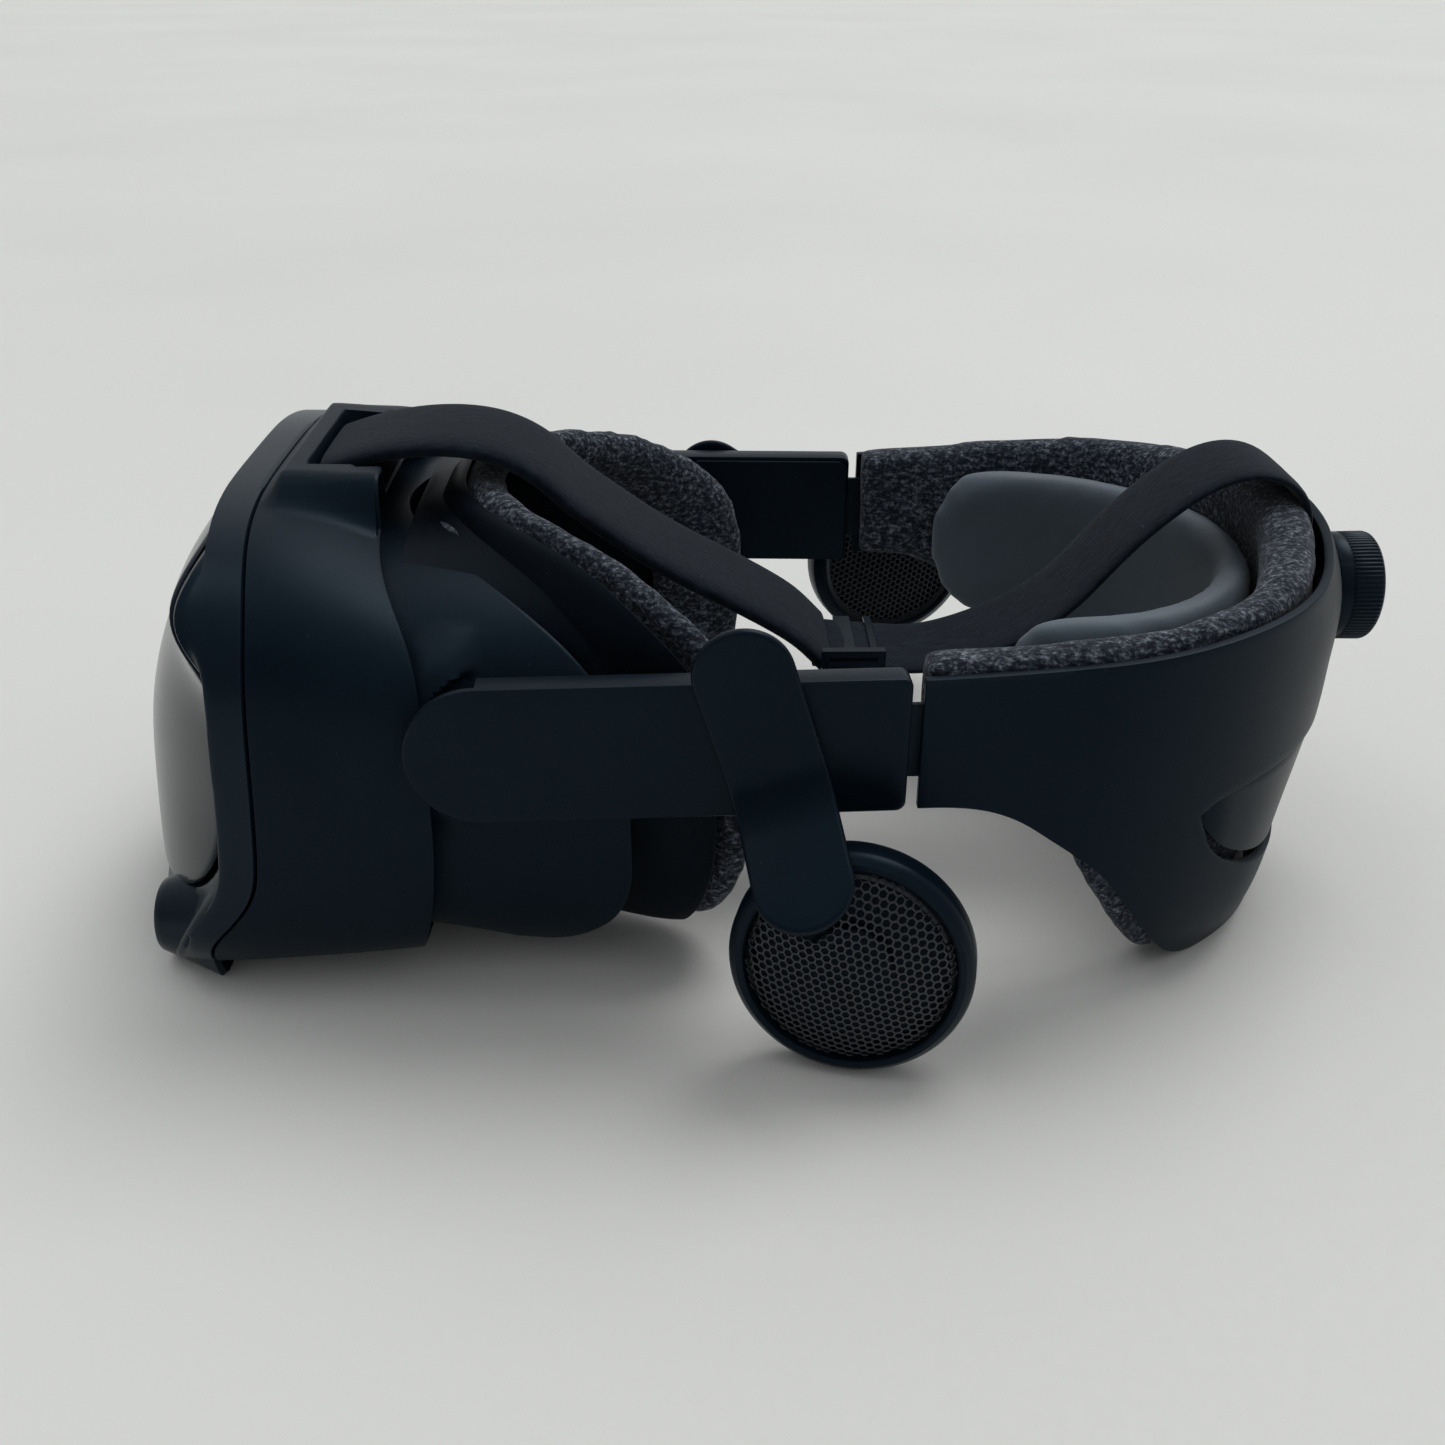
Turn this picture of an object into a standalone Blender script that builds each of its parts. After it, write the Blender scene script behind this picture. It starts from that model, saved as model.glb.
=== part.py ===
"""VR headset with an adjustable headband, off-ear speakers and a top strap.

Frame: +Z up, the wearer looks along -Y, the wearer's left is +X, and z = 0 is the
table that the headset lies on.  Every size below is in millimetres.
"""
import math

import bmesh
import bpy
from mathutils import Matrix, Vector

MM = 0.001
NAME = "vr_headset"

# Visor: superellipse sections, width along X, height along Z
VISOR_HALF_WIDTH = 81.0
VISOR_TOP = 118.0
SHELL_REAR_TOP = 111.0
SHELL_REAR_BOTTOM = 4.0
WALL = 2.4
SIDES = 32                 # points round one visor section
EVENING = 0.13             # draws those points from the corners to the flats
BASE = -0.6                # sections reach below the table, which cuts them flat
GAP = 0.4

# Front plate
PLATE_HALF_WIDTH = 72.0
PLATE_BOTTOM = 16.0
PLATE_TOP = 114.0

# Cameras, button and eye relief knob
CAMERA_X = 55.0
CAMERA_Y = -158.0
CAMERA_Z = 10.6
CAMERA_RADIUS = 8.8
CAMERA_HOLE_RADIUS = 9.3
BUTTON_X = -50.0
BUTTON_Y = -122.0
RELIEF_KNOB_Y = -70.0
RELIEF_KNOB_Z = 40.0
RELIEF_KNOB_RADIUS = 7.8
RELIEF_SHAFT_RADIUS = 2.8

# Strap bump on the visor's top
BUMP_HALF_WIDTH = 28.0
BUMP_TOP = 122.5
SLOT_FLOOR = 114.2
SLOT_HALF_WIDTH = 21.0

# Lenses
EYE_X = 32.0
EYE_Z = 59.0
BARREL_RADIUS = 22.5
IPD_TRAVEL = 3.0
RAIL_Y = -92.0
RAIL_RADIUS = 2.0
RAIL_OFFSET = 28.0
IPD_PINION_RADIUS = 5.0

# Headband
PIVOT_Y = -66.0
PIVOT_Z = 73.5
PIVOT_RADIUS = 5.0
ARM_HALF_HEIGHT = 17.4
ARM_REAR_X = 80.0
ARM_REAR_Y = 32.0
ARM_THICKNESS = 7.0
ARM_TAPER = math.radians(2.27)
ARM_CORE_RADIUS = 11.8     # inside this the arm's tip keeps its full thickness
BAND_HALF_HEIGHT = 9.6

# Crown: a U of two straight sides and a half circle
CROWN_FRONT_Y = 34.6
CROWN_CENTRE_Y = 74.0
CROWN_RADIUS = 80.0
CROWN_WALL = 2.4
PAD_OUTER = 73.3
PAD_INNER = 60.0
WINDOW_INNER = 64.0
WINDOW_OUTER = 92.0
WINDOW_Z = 50.5             # where the rear window closes at its two ends
WINDOW_RISE = 7.0
WINDOW_DROP = 27.0
KNOB_Z = 78.1
KNOB_RADIUS = 15.0
KNOB_REAR_Y = 168.0
KNOB_DEPTH = 12.8
ADJUST_PINION_RADIUS = 6.4
RACK_RADIUS = 75.0

# Ear speakers
EAR_PIVOT_Y = 0.0
EAR_TILT = math.radians(17)          # the arm's lower end leans back
RIGHT_EAR_SWING = math.radians(40)   # the right speaker lies swung further back
RIGHT_EAR_SLIDE = 8.0
EAR_PATH = ((-33.7, 84.2), (4.0, 84.2), (12.5, 88.6), (28.8, 113.2))  # down the arm, and X
EAR_ARM_THICKNESS = 2.4
EAR_ARM_RADIUS = 11.6
EAR_SLOT_DEPTH = 1.2
NECK_DOWN = 25.0                     # where the neck leaves the arm's inner face
NECK_LENGTH = 10.7
NECK_RADIUS = 3.2
BALL_RADIUS = 3.8
SPEAKER_CENTRE = (100.0, 18.6, 29.0)
SPEAKER_RADIUS = 28.6
SPEAKER_YAW = math.radians(-12.5)
SPEAKER_TILT = math.radians(7.5)

# Top strap
STRAP_HALF_WIDTH = 18.5
STRAP_THICKNESS = 5.0
REAR_STRAP_HALF_WIDTH = 15.0
REAR_STRAP_THICKNESS = 2.6
BUCKLE_Y = 25.0
BUCKLE_Z = 65.5
BUCKLE_HALF_DEPTH = 8.5

COLOURS = {
    "shell": ((0.022, 0.025, 0.031), 0.42, 0.0),
    "gloss": ((0.008, 0.009, 0.012), 0.06, 0.0),
    "satin": ((0.016, 0.019, 0.025), 0.30, 0.0),
    "fabric": ((0.045, 0.048, 0.058), 0.95, 0.0),
    "felt": ((0.010, 0.012, 0.018), 0.95, 0.0),
    "foam": ((0.030, 0.031, 0.036), 0.62, 0.0),
    "inner": ((0.012, 0.013, 0.016), 0.60, 0.0),
    "metal": ((0.32, 0.33, 0.35), 0.30, 1.0),
    "dark_metal": ((0.035, 0.038, 0.045), 0.38, 0.8),
    "glass": ((0.05, 0.06, 0.08), 0.03, 0.0),
    "board": ((0.01, 0.07, 0.04), 0.50, 0.0),
}


def clear_scene():
    for old in list(bpy.data.objects):
        bpy.data.objects.remove(old, do_unlink=True)


def make_collection(name):
    collection = bpy.data.collections.new(name)
    bpy.context.scene.collection.children.link(collection)
    return collection


def make_material(node, finish):
    colour, roughness, metallic = COLOURS[finish]
    material = bpy.data.materials.new(node)
    material.use_nodes = True
    shader = material.node_tree.nodes["Principled BSDF"]
    shader.inputs["Base Color"].default_value = (*colour, 1.0)
    shader.inputs["Roughness"].default_value = roughness
    shader.inputs["Metallic"].default_value = metallic
    material.diffuse_color = (*colour, 1.0)
    return material


def link(name, mesh, finish=None):
    """Put a mesh in the parts collection, or with no finish in the cutters'."""
    item = bpy.data.objects.new(name, mesh)
    if finish is None:
        CUTTERS.objects.link(item)
        item.hide_render = True
        item.display_type = "WIRE"
    else:
        PARTS.objects.link(item)
        mesh.materials.clear()
        mesh.materials.append(make_material(name, finish))
        mesh.shade_smooth()
        mesh.set_sharp_from_angle(angle=math.radians(32))
    return item


def mesh_from(name, bm, merge=0.0):
    if merge:
        bmesh.ops.remove_doubles(bm, verts=bm.verts, dist=merge * MM)
    bmesh.ops.recalc_face_normals(bm, faces=bm.faces)
    mesh = bpy.data.meshes.new(name)
    bm.to_mesh(mesh)
    bm.free()
    return mesh


def skin(name, rings, finish=None, closed_ends=True):
    """Loft between rings of points, with capped or open ends."""
    bm = bmesh.new()
    rows = [[bm.verts.new(Vector(point) * MM) for point in ring] for ring in rings]
    count = len(rings[0])
    for first, second in zip(rows, rows[1:]):
        for i in range(count):
            j = (i + 1) % count
            bm.faces.new((first[i], first[j], second[j], second[i]))
    if closed_ends:
        bm.faces.new(rows[0])
        bm.faces.new(rows[-1])
    return link(name, mesh_from(name, bm), finish)


def shell(name, rings, thickness, finish):
    """An open skin given its wall by Solidify."""
    item = skin(name, rings, finish, closed_ends=False)
    wall = item.modifiers.new("wall", "SOLIDIFY")
    wall.thickness = thickness * MM
    wall.offset = -1.0
    return item


def block(name, low, high, finish=None, bevel=0.0):
    bm = bmesh.new()
    bmesh.ops.create_cube(bm, size=1.0)
    size = [(b - a) * MM for a, b in zip(low, high)]
    centre = [(a + b) * MM / 2 for a, b in zip(low, high)]
    bmesh.ops.scale(bm, vec=size, verts=bm.verts)
    bmesh.ops.translate(bm, vec=centre, verts=bm.verts)
    item = link(name, mesh_from(name, bm), finish)
    if bevel:
        edge = item.modifiers.new("edges", "BEVEL")
        edge.width = bevel * MM
        edge.segments = 2
    return item


def turn_to(axis):
    return Vector((0, 0, 1)).rotation_difference(Vector(axis)).to_matrix().to_4x4()


def cylinder(name, start, end, radius, finish=None, sides=24):
    start, end = Vector(start), Vector(end)
    bm = bmesh.new()
    bmesh.ops.create_cone(bm, cap_ends=True, segments=sides, radius1=radius * MM,
                          radius2=radius * MM, depth=(end - start).length * MM)
    middle = Matrix.Translation((start + end) * MM / 2)
    bmesh.ops.transform(bm, matrix=middle @ turn_to((end - start).normalized()), verts=bm.verts)
    return link(name, mesh_from(name, bm), finish)


def turned(name, profile, centre, axis, finish=None, steps=32):
    """Turn a profile of (radius, height) points, top to bottom, about an axis."""
    bm = bmesh.new()
    points = [bm.verts.new((radius * MM, 0, height * MM)) for radius, height in profile]
    closed = profile[0][0] > 0 or profile[-1][0] > 0
    for first, second in zip(points, points[1:]):
        bm.edges.new((first, second))
    if closed:
        bm.edges.new((points[-1], points[0]))
    bmesh.ops.spin(bm, geom=bm.verts[:] + bm.edges[:], cent=(0, 0, 0), axis=(0, 0, 1),
                   angle=math.tau, steps=steps, use_merge=True)
    place = Matrix.Translation(Vector(centre) * MM) @ turn_to(axis)
    bmesh.ops.transform(bm, matrix=place, verts=bm.verts)
    return link(name, mesh_from(name, bm, merge=0.01), finish)


def prism(name, outline, low, high, place, finish=None):
    """A flat outline in its own X and Y, from low to high along its Z, then placed."""
    curve = bpy.data.curves.new(name, "CURVE")
    curve.dimensions = "2D"
    curve.fill_mode = "BOTH"
    curve.extrude = (high - low) * MM / 2
    spline = curve.splines.new("POLY")
    spline.points.add(len(outline) - 1)
    for point, (x, y) in zip(spline.points, outline):
        point.co = (x * MM, y * MM, 0, 1)
    spline.use_cyclic_u = True
    holder = bpy.data.objects.new(name + "_curve", curve)
    bpy.context.scene.collection.objects.link(holder)
    graph = bpy.context.evaluated_depsgraph_get()
    mesh = bpy.data.meshes.new_from_object(holder.evaluated_get(graph))
    bpy.data.objects.remove(holder, do_unlink=True)
    bm = bmesh.new()
    bm.from_mesh(mesh)
    middle = Matrix.Translation((0, 0, (low + high) * MM / 2))
    bmesh.ops.transform(bm, matrix=place @ middle, verts=bm.verts)
    return link(name, mesh_from(name, bm, merge=0.01), finish)


def boolean(item, others, operation):
    for other in others:
        step = item.modifiers.new(operation.lower(), "BOOLEAN")
        step.operation = operation
        step.solver = "EXACT"
        step.object = other


def cut(item, *cutters):
    boolean(item, cutters, "DIFFERENCE")


def join(item, *added):
    boolean(item, added, "UNION")


def interpolate(value, table):
    """Straight-line interpolation in a short table of (value, result)."""
    if value <= table[0][0]:
        return table[0][1]
    for (a, first), (b, second) in zip(table, table[1:]):
        if value <= b:
            return first + (second - first) * (value - a) / (b - a)
    return table[-1][1]


def oval(half_width, bottom, top, upper=3.2, lower=5.0, count=SIDES):
    """A superellipse in X and Z, squarer below than above."""
    middle = (bottom + top) / 2
    points = []
    for k in range(count):
        angle = math.tau * (k + 0.5) / count
        angle -= EVENING * math.sin(4 * angle)
        c, s = math.cos(angle), math.sin(angle)
        power = 2 / (upper if s > 0 else lower)
        x = half_width * math.copysign(abs(c) ** power, c)
        z = middle + (top - middle) * math.copysign(abs(s) ** power, s)
        points.append((x, max(z, 0.0)))
    return points


def rounded(width, height, radius, corner_steps=4):
    """A rectangle with round corners about the origin."""
    points = []
    for quarter in range(4):
        cx = (width / 2 - radius) * (1 if quarter in (0, 3) else -1)
        cy = (height / 2 - radius) * (1 if quarter in (0, 1) else -1)
        for k in range(corner_steps + 1):
            angle = math.pi / 2 * (quarter + k / corner_steps)
            points.append((cx + radius * math.cos(angle), cy + radius * math.sin(angle)))
    return points


# ---- visor ------------------------------------------------------------------

PLATE_PROFILE = ((12, -169.6), (35, -168.4), (58, -165.2), (75, -159.3), (90, -151.5),
                 (100, -145), (110, -137), (118, -128))
PLATE_SAG = ((20, 30), (46, 35), (67, 33), (87, 24), (102, 9), (118, 8))
SEAM_PROFILE = ((0, -138), (18, -136), (24, -131), (32, -125), (45, -121.5), (66, -119.5),
                (92, -118), (112, -120), (118, -122.5))


def plate_y(x, z):
    return interpolate(z, PLATE_PROFILE) + interpolate(z, PLATE_SAG) * (x / PLATE_HALF_WIDTH) ** 2


def seam_y(z):
    return interpolate(z, SEAM_PROFILE)


def rear_y(z):
    """Rear edge of the main shell: set forward beside the arm's tip, leaning forward above."""
    return interpolate(z, ((4, -88), (20, -84), (38, -81), (50, -83), (97, -84), (111, -95)))


def plate_ring(scale):
    middle = (PLATE_BOTTOM + PLATE_TOP) / 2
    ring = []
    for x, z in oval(PLATE_HALF_WIDTH, PLATE_BOTTOM, PLATE_TOP, 4.0, 4.0):
        x, z = x * scale, middle + (z - middle) * scale
        ring.append((x, plate_y(x, z), z))
    return ring


def build_front_plate():
    bm = bmesh.new()
    rows = [plate_ring(scale) for scale in (1.0, 0.82, 0.5, 0.15)]
    rows = [[bm.verts.new(Vector(point) * MM) for point in ring] for ring in rows]
    for first, second in zip(rows, rows[1:]):
        for i in range(SIDES):
            j = (i + 1) % SIDES
            bm.faces.new((first[i], first[j], second[j], second[i]))
    bm.faces.new(rows[-1])
    bmesh.ops.recalc_face_normals(bm, faces=bm.faces)
    if sum(face.normal.y for face in bm.faces) > 0:
        bmesh.ops.reverse_faces(bm, faces=bm.faces)
    mesh = bpy.data.meshes.new("front_plate")
    bm.to_mesh(mesh)
    bm.free()
    plate = link("front_plate", mesh, "gloss")
    wall = plate.modifiers.new("wall", "SOLIDIFY")
    wall.thickness = 1.8 * MM
    wall.offset = -1.0


def chin_y(x):
    return -168.5 + 14.0 * (x / 60) ** 2


def bezel_ring(half_width, bottom, top, back):
    ring = []
    for x, z in oval(half_width, bottom, top, 3.6, 5.0):
        low = max(0.0, min(1.0, (20 - z) / 8))
        upper_y = plate_y(x * 0.95, min(z, 116)) + back
        ring.append((x, upper_y * (1 - low) + chin_y(x) * low, z))
    return ring


def build_front_bezel():
    rim = [(x, y + 1.5, z) for x, y, z in plate_ring(1.045)]
    shoulder = bezel_ring(77.3, 0.3, 117.6, 4.0)
    middle = [(x, (seam_y(z) + chin_y(x * 0.9)) / 2 if z < 20 else seam_y(z) - 9, z)
              for x, z in oval(79.6, BASE, 118.4, 3.3, 5.0)]
    seam = [(x, seam_y(z) - 0.5, z) for x, z in oval(VISOR_HALF_WIDTH, BASE, VISOR_TOP, 3.3)]
    bezel = shell("front_bezel", [seam, middle, shoulder, rim], WALL, "satin")
    for side in (1, -1):
        x = side * CAMERA_X
        hole = cylinder(f"bezel_hole_{side}", (x, -180, CAMERA_Z), (x, -143, CAMERA_Z), CAMERA_HOLE_RADIUS)
        cut(bezel, hole)


def build_cameras():
    for side, label in ((1, "left"), (-1, "right")):
        turned(f"{label}_camera", [
            (0, 3.2), (5.0, 2.6), (CAMERA_RADIUS, 1.0), (CAMERA_RADIUS, -6), (5.5, -14), (0, -14)],
            (side * CAMERA_X, CAMERA_Y, CAMERA_Z), (0, -1, 0), "gloss", 20)


def build_main_shell():
    seam = [(x, seam_y(z) + 0.5, z) for x, z in oval(VISOR_HALF_WIDTH, BASE, VISOR_TOP, 3.3)]
    middle = [(x, (seam_y(z) + rear_y(z)) / 2, z)
              for x, z in oval(VISOR_HALF_WIDTH + 0.6, 1.4, 115.6, 3.2)]
    rear = [(x, rear_y(z), z)
            for x, z in oval(VISOR_HALF_WIDTH, SHELL_REAR_BOTTOM, SHELL_REAR_TOP, 3.0)]
    body = shell("main_shell", [seam, middle, rear], WALL, "shell")
    bump = skin("strap_bump", [
        [(-38, -122, 112), (38, -122, 112), (34, -120, 118.5), (-34, -120, 118.5)],
        [(-38, -114.6, 110.6), (38, -114.6, 110.6), (BUMP_HALF_WIDTH, -114.6, BUMP_TOP),
         (-BUMP_HALF_WIDTH, -114.6, BUMP_TOP)],
        [(-36, -96.5, 108.6), (36, -96.5, 108.6), (BUMP_HALF_WIDTH, -96.5, BUMP_TOP - 1),
         (-BUMP_HALF_WIDTH, -96.5, BUMP_TOP - 1)]])
    join(body, bump)
    slot = block("strap_slot", (-SLOT_HALF_WIDTH, -112, SLOT_FLOOR), (SLOT_HALF_WIDTH, -80, 135))
    button_hole = cylinder("button_hole", (BUTTON_X, BUTTON_Y, -5), (BUTTON_X, BUTTON_Y, 10), 4.5)
    slider_hole = block("slider_hole", (-35, -112, -5), (-17, -105, 12))
    cut(body, slot, button_hole, slider_hole)


def build_visor_inside():
    chassis = skin("display_chassis", [
        [(x, y, z) for x, z in oval(72, 12, 101, 3.2)] for y in (-108.0, -104.5)], "inner")
    for side in (1, -1):
        window = block(f"panel_window_{side}", (side * EYE_X - 29, -111, EYE_Z - 25),
                       (side * EYE_X + 29, -101, EYE_Z + 25))
        for end, offset in (("up", RAIL_OFFSET), ("down", -RAIL_OFFSET)):
            ends = sorted((side * 44.5, side * 50))
            bracket = block(f"bracket_{side}_{end}", (ends[0], -106, EYE_Z + offset - 3.2),
                            (ends[1], -88.4, EYE_Z + offset + 3.2))
            join(chassis, bracket)
        cut(chassis, window)
    for offset in (RAIL_OFFSET, -RAIL_OFFSET):
        rail_hole = cylinder(f"rail_hole_{offset}", (-60, RAIL_Y, EYE_Z + offset),
                             (60, RAIL_Y, EYE_Z + offset), RAIL_RADIUS + GAP, sides=12)
        cut(chassis, rail_hole)
    tray = block("frunk_tray", (-36, -147, 34), (36, -128, 80), "satin", 2.0)
    cut(tray, block("frunk_hollow", (-34, -160, 36), (34, -130, 78)))
    cut(tray, block("usb_hole", (-7.5, -132, 50), (7.5, -120, 57)))
    port = block("usb_port", (-7, -141, 50.4), (7, -127.6, 56.6), "metal")
    cut(port, block("usb_mouth", (-6, -145, 51.2), (6, -130, 55.8)))
    block("main_board", (-62, -124.5, 24), (62, -122.9, 98), "board")
    rails = (("ipd_rail_upper", RAIL_OFFSET), ("ipd_rail_lower", -RAIL_OFFSET))
    for name, offset in rails:
        cylinder(name, (-52, RAIL_Y, EYE_Z + offset), (52, RAIL_Y, EYE_Z + offset),
                 RAIL_RADIUS, "metal", 12)
    socket = block("tether_socket", (56.4, -104.1, 70), (64, -94.6, 82), "inner", 0.8)
    cut(socket, block("socket_mouth", (58, -99, 71.8), (62.4, -85, 80.2)))


def build_eye(side, label):
    x = side * EYE_X
    panel = (x - 26, -114.0, EYE_Z - 28), (x + 26, -110.6, EYE_Z + 28)
    block(f"{label}_display_panel", *panel, "glass")
    barrel = turned(f"{label}_lens_barrel", [
        (BARREL_RADIUS, 15), (20.4, 15), (20.4, 8), (18.6, 8), (18.6, -5.5), (BARREL_RADIUS, -5.5)],
        (x, RAIL_Y, EYE_Z), (0, 1, 0), "inner", 24)
    lugs = [block(f"{label}_lug_{end}", (x - 5, RAIL_Y - 4, EYE_Z + a),
                  (x + 5, RAIL_Y + 4, EYE_Z + b))
            for end, a, b in (("up", 20.5, 31.4), ("down", -31.4, -20.5))]
    bar_z = EYE_Z + side * (IPD_PINION_RADIUS + 2.2)
    ends = sorted((side * 13.0, side * -8.0))
    bar = block(f"{label}_rack_bar", (ends[0], -100.4, bar_z - 1.6), (ends[1], -97.6, bar_z + 1.6))
    foot_ends = sorted((side * 10.4, side * 13.0))
    foot = block(f"{label}_rack_foot", (foot_ends[0], -100.4, bar_z - 1.6),
                 (foot_ends[1], -94, bar_z + 1.6))
    join(barrel, *lugs, bar, foot)
    for offset in (RAIL_OFFSET, -RAIL_OFFSET):
        bore = cylinder(f"{label}_bore_{offset}", (x - 9, RAIL_Y, EYE_Z + offset),
                        (x + 9, RAIL_Y, EYE_Z + offset), RAIL_RADIUS + GAP, sides=12)
        cut(barrel, bore)
    turned(f"{label}_lens", [(0, 6.0), (8, 5.4), (14, 3.6), (20, 0.6), (20, -0.8), (0, -2.6)],
           (x, RAIL_Y + 9.2, EYE_Z), (0, 1, 0), "glass", 24)


def gear(name, centre, axis_y, radius, teeth, finish):
    """A toothed wheel turning about Y, its teeth as an outline of steps."""
    outline = []
    for k in range(teeth * 2):
        reach = radius + (0.35 if k % 2 else -0.35)
        for part in (-0.22, 0.22):
            angle = math.pi / teeth * (k + part)
            outline.append((reach * math.cos(angle), reach * math.sin(angle)))
    place = Matrix.Translation(Vector(centre) * MM) @ Matrix.Rotation(math.pi / 2, 4, "X")
    return prism(name, outline, axis_y[0], axis_y[1], place, finish)


def build_ipd_drive():
    gear("ipd_pinion", (0, -99, EYE_Z), (-1.2, 1.2), IPD_PINION_RADIUS, 12, "metal")
    block("ipd_slider", (-31, -111.5, 0.9), (-21, -105.5, 10), "satin", 0.8)
    turned("system_button", [(0, 8), (3.2, 8), (3.2, 2.4), (4.0, 2.0), (4.0, 0.4), (0, 0.4)],
           (BUTTON_X, BUTTON_Y, 0.2), (0, 0, 1), "satin", 20)


def build_visor():
    build_front_plate()
    build_front_bezel()
    build_cameras()
    build_main_shell()
    build_visor_inside()
    build_eye(1, "left")
    build_eye(-1, "right")
    build_ipd_drive()


# ---- carriage and gasket ------------------------------------------------------

CARRIAGE_HALF_WIDTH = 75.0


def carriage_rear(x, z):
    """The carriage's rear edge sweeps back from the brow to the temples."""
    edge = -92 + 61 * (min(abs(x), 76) / 76) ** 1.84
    floor = interpolate(z, ((4, 28), (11, 8), (22, 1), (40, 0)))
    return max(edge - floor, -93.0)


def carriage_drop(y, z):
    """Behind the main shell the carriage's lower corners reach further down."""
    low = max(0.0, min(1.0, (30 - z) / 23))
    return 4.5 * low * max(0.0, min(1.0, (y + 84) / 20))


def build_carriage():
    def ring(y_of, half_width=CARRIAGE_HALF_WIDTH, bottom=8.2, top=106.6):
        return [(x, y_of(x, z), z) for x, z in oval(half_width, bottom, top, 3.0)]

    front = ring(lambda x, z: -103.5, 74.8, 8.8, 106.4)
    middle = ring(lambda x, z: min(-94.0, carriage_rear(x, z) - 1), 74.9, 8.4, 106.6)
    back = [(x, y, z - carriage_drop(y, z))
            for x, y, z in ring(carriage_rear, CARRIAGE_HALF_WIDTH, 6.8, 105.8)]
    frame = shell("carriage_frame", [front, middle, back], 2.0, "shell")
    nose = skin("nose_cut", [
        [(-24, y, -5), (24, y, -5), (13, y, 22), (-13, y, 22)] for y in (-96, -60)])
    cut(frame, nose)
    for side, label in ((1, "left"), (-1, "right")):
        hole = cylinder(f"{label}_pin_hole", (side * 60, PIVOT_Y, PIVOT_Z),
                        (side * 90, PIVOT_Y, PIVOT_Z), PIVOT_RADIUS + GAP)
        cut(frame, hole)
        turned(f"{label}_pivot_pin", [
            (0, 9.2), (PIVOT_RADIUS, 9.2), (PIVOT_RADIUS, -1.9), (6.2, -1.9), (6.2, -3.0), (0, -3.0)],
            (side * 71.6, PIVOT_Y, PIVOT_Z), (side, 0, 0), "metal", 16)
    knob_hole = cylinder("relief_hole", (-60, RELIEF_KNOB_Y, RELIEF_KNOB_Z),
                         (-90, RELIEF_KNOB_Y, RELIEF_KNOB_Z), RELIEF_SHAFT_RADIUS + GAP, sides=16)
    cut(frame, knob_hole)
    turned("relief_knob", [
        (0, 4.2), (7.4, 4.2), (RELIEF_KNOB_RADIUS, 3.6), (RELIEF_KNOB_RADIUS, 0),
        (RELIEF_SHAFT_RADIUS, 0), (RELIEF_SHAFT_RADIUS, -3.6), (0, -3.6)],
        (-75.6, RELIEF_KNOB_Y, RELIEF_KNOB_Z), (-1, 0, 0), "satin", 20)


GASKET_FRONT_Y = -88.0     # behind the chassis brackets
GASKET_DEPTH = 10.0
GASKET_RIM = ((-80, -62), (-72, -46), (-66, -34), (-58, -25), (-45, -21), (-30, -18), (-8, -13),
              (10, -13), (22, -19.5), (38, -32), (52, -43.5), (68, -61.5), (82, -74), (90, -77))


def gasket_angles():
    """Degrees round the face from one side of the nose over the brow to the other side."""
    start, end, count = -80, 260, 34
    return [start + (end - start) * k / count for k in range(count + 1)]


def gasket_point(angle, half_width, bottom, top):
    """A place on the gasket's section, squarer below than above."""
    middle = (bottom + top) / 2
    c, s = math.cos(math.radians(angle)), math.sin(math.radians(angle))
    power = 2 / 3 if s > 0 else 2 / 5
    x = half_width * math.copysign(abs(c) ** power, c)
    z = middle + (top - middle) * math.copysign(abs(s) ** power, s)
    return x, z


def gasket_rim_y(angle):
    """Where the frame ends and the pad begins: far back at the temples, forward at the brow."""
    return interpolate(min(angle, 180 - angle), GASKET_RIM)


def gasket_frame_ring(angle):
    ring = []
    for inset, points in ((0, ("front", "middle", "rim")), (2.2, ("rim", "middle", "front"))):
        for point in points:
            x, z = gasket_point(angle, 67.4 - inset, 12.5 + inset, 100.8 - inset)
            y = GASKET_FRONT_Y
            if point == "middle":
                y = max(carriage_rear(x * 1.1, z) + 2.6, GASKET_FRONT_Y + 1)
            if point == "rim":
                x, z = gasket_point(angle, 70.5 - inset, 4.5 + inset, 114 - inset)
                y = gasket_rim_y(angle)
            ring.append((x, y, z))
    return ring


def gasket_pad_ring(angle):
    outer = gasket_point(angle, 67.5, 4.2, 116.4)
    crown = gasket_point(angle, 62.0, 9.5, 111.0)
    inner = gasket_point(angle, 56.5, 15, 105.6)
    base = gasket_rim_y(angle) + 0.7
    back = base + GASKET_DEPTH
    rows = ((outer, base), (outer, back - 3), (crown, back), (inner, back - 3), (inner, base))
    return [(x, y, z) for (x, z), y in rows]


def build_gasket():
    skin("gasket_frame", [gasket_frame_ring(angle) for angle in gasket_angles()], "inner")
    skin("gasket_pad", [gasket_pad_ring(angle) for angle in gasket_angles()], "fabric")


# ---- headband ------------------------------------------------------------------

def arm_outline():
    """Round at the pivot, square at the rear, in the arm's own length and height."""
    length = ARM_REAR_Y - PIVOT_Y
    points = [(0, -ARM_HALF_HEIGHT + 2), (0, ARM_HALF_HEIGHT - 2), (-2, ARM_HALF_HEIGHT)]
    for k in range(13):
        angle = math.pi / 2 + math.pi * k / 12
        points.append((-length + ARM_HALF_HEIGHT * math.cos(angle), ARM_HALF_HEIGHT * math.sin(angle)))
    points.append((-2, -ARM_HALF_HEIGHT))
    return points


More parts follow.
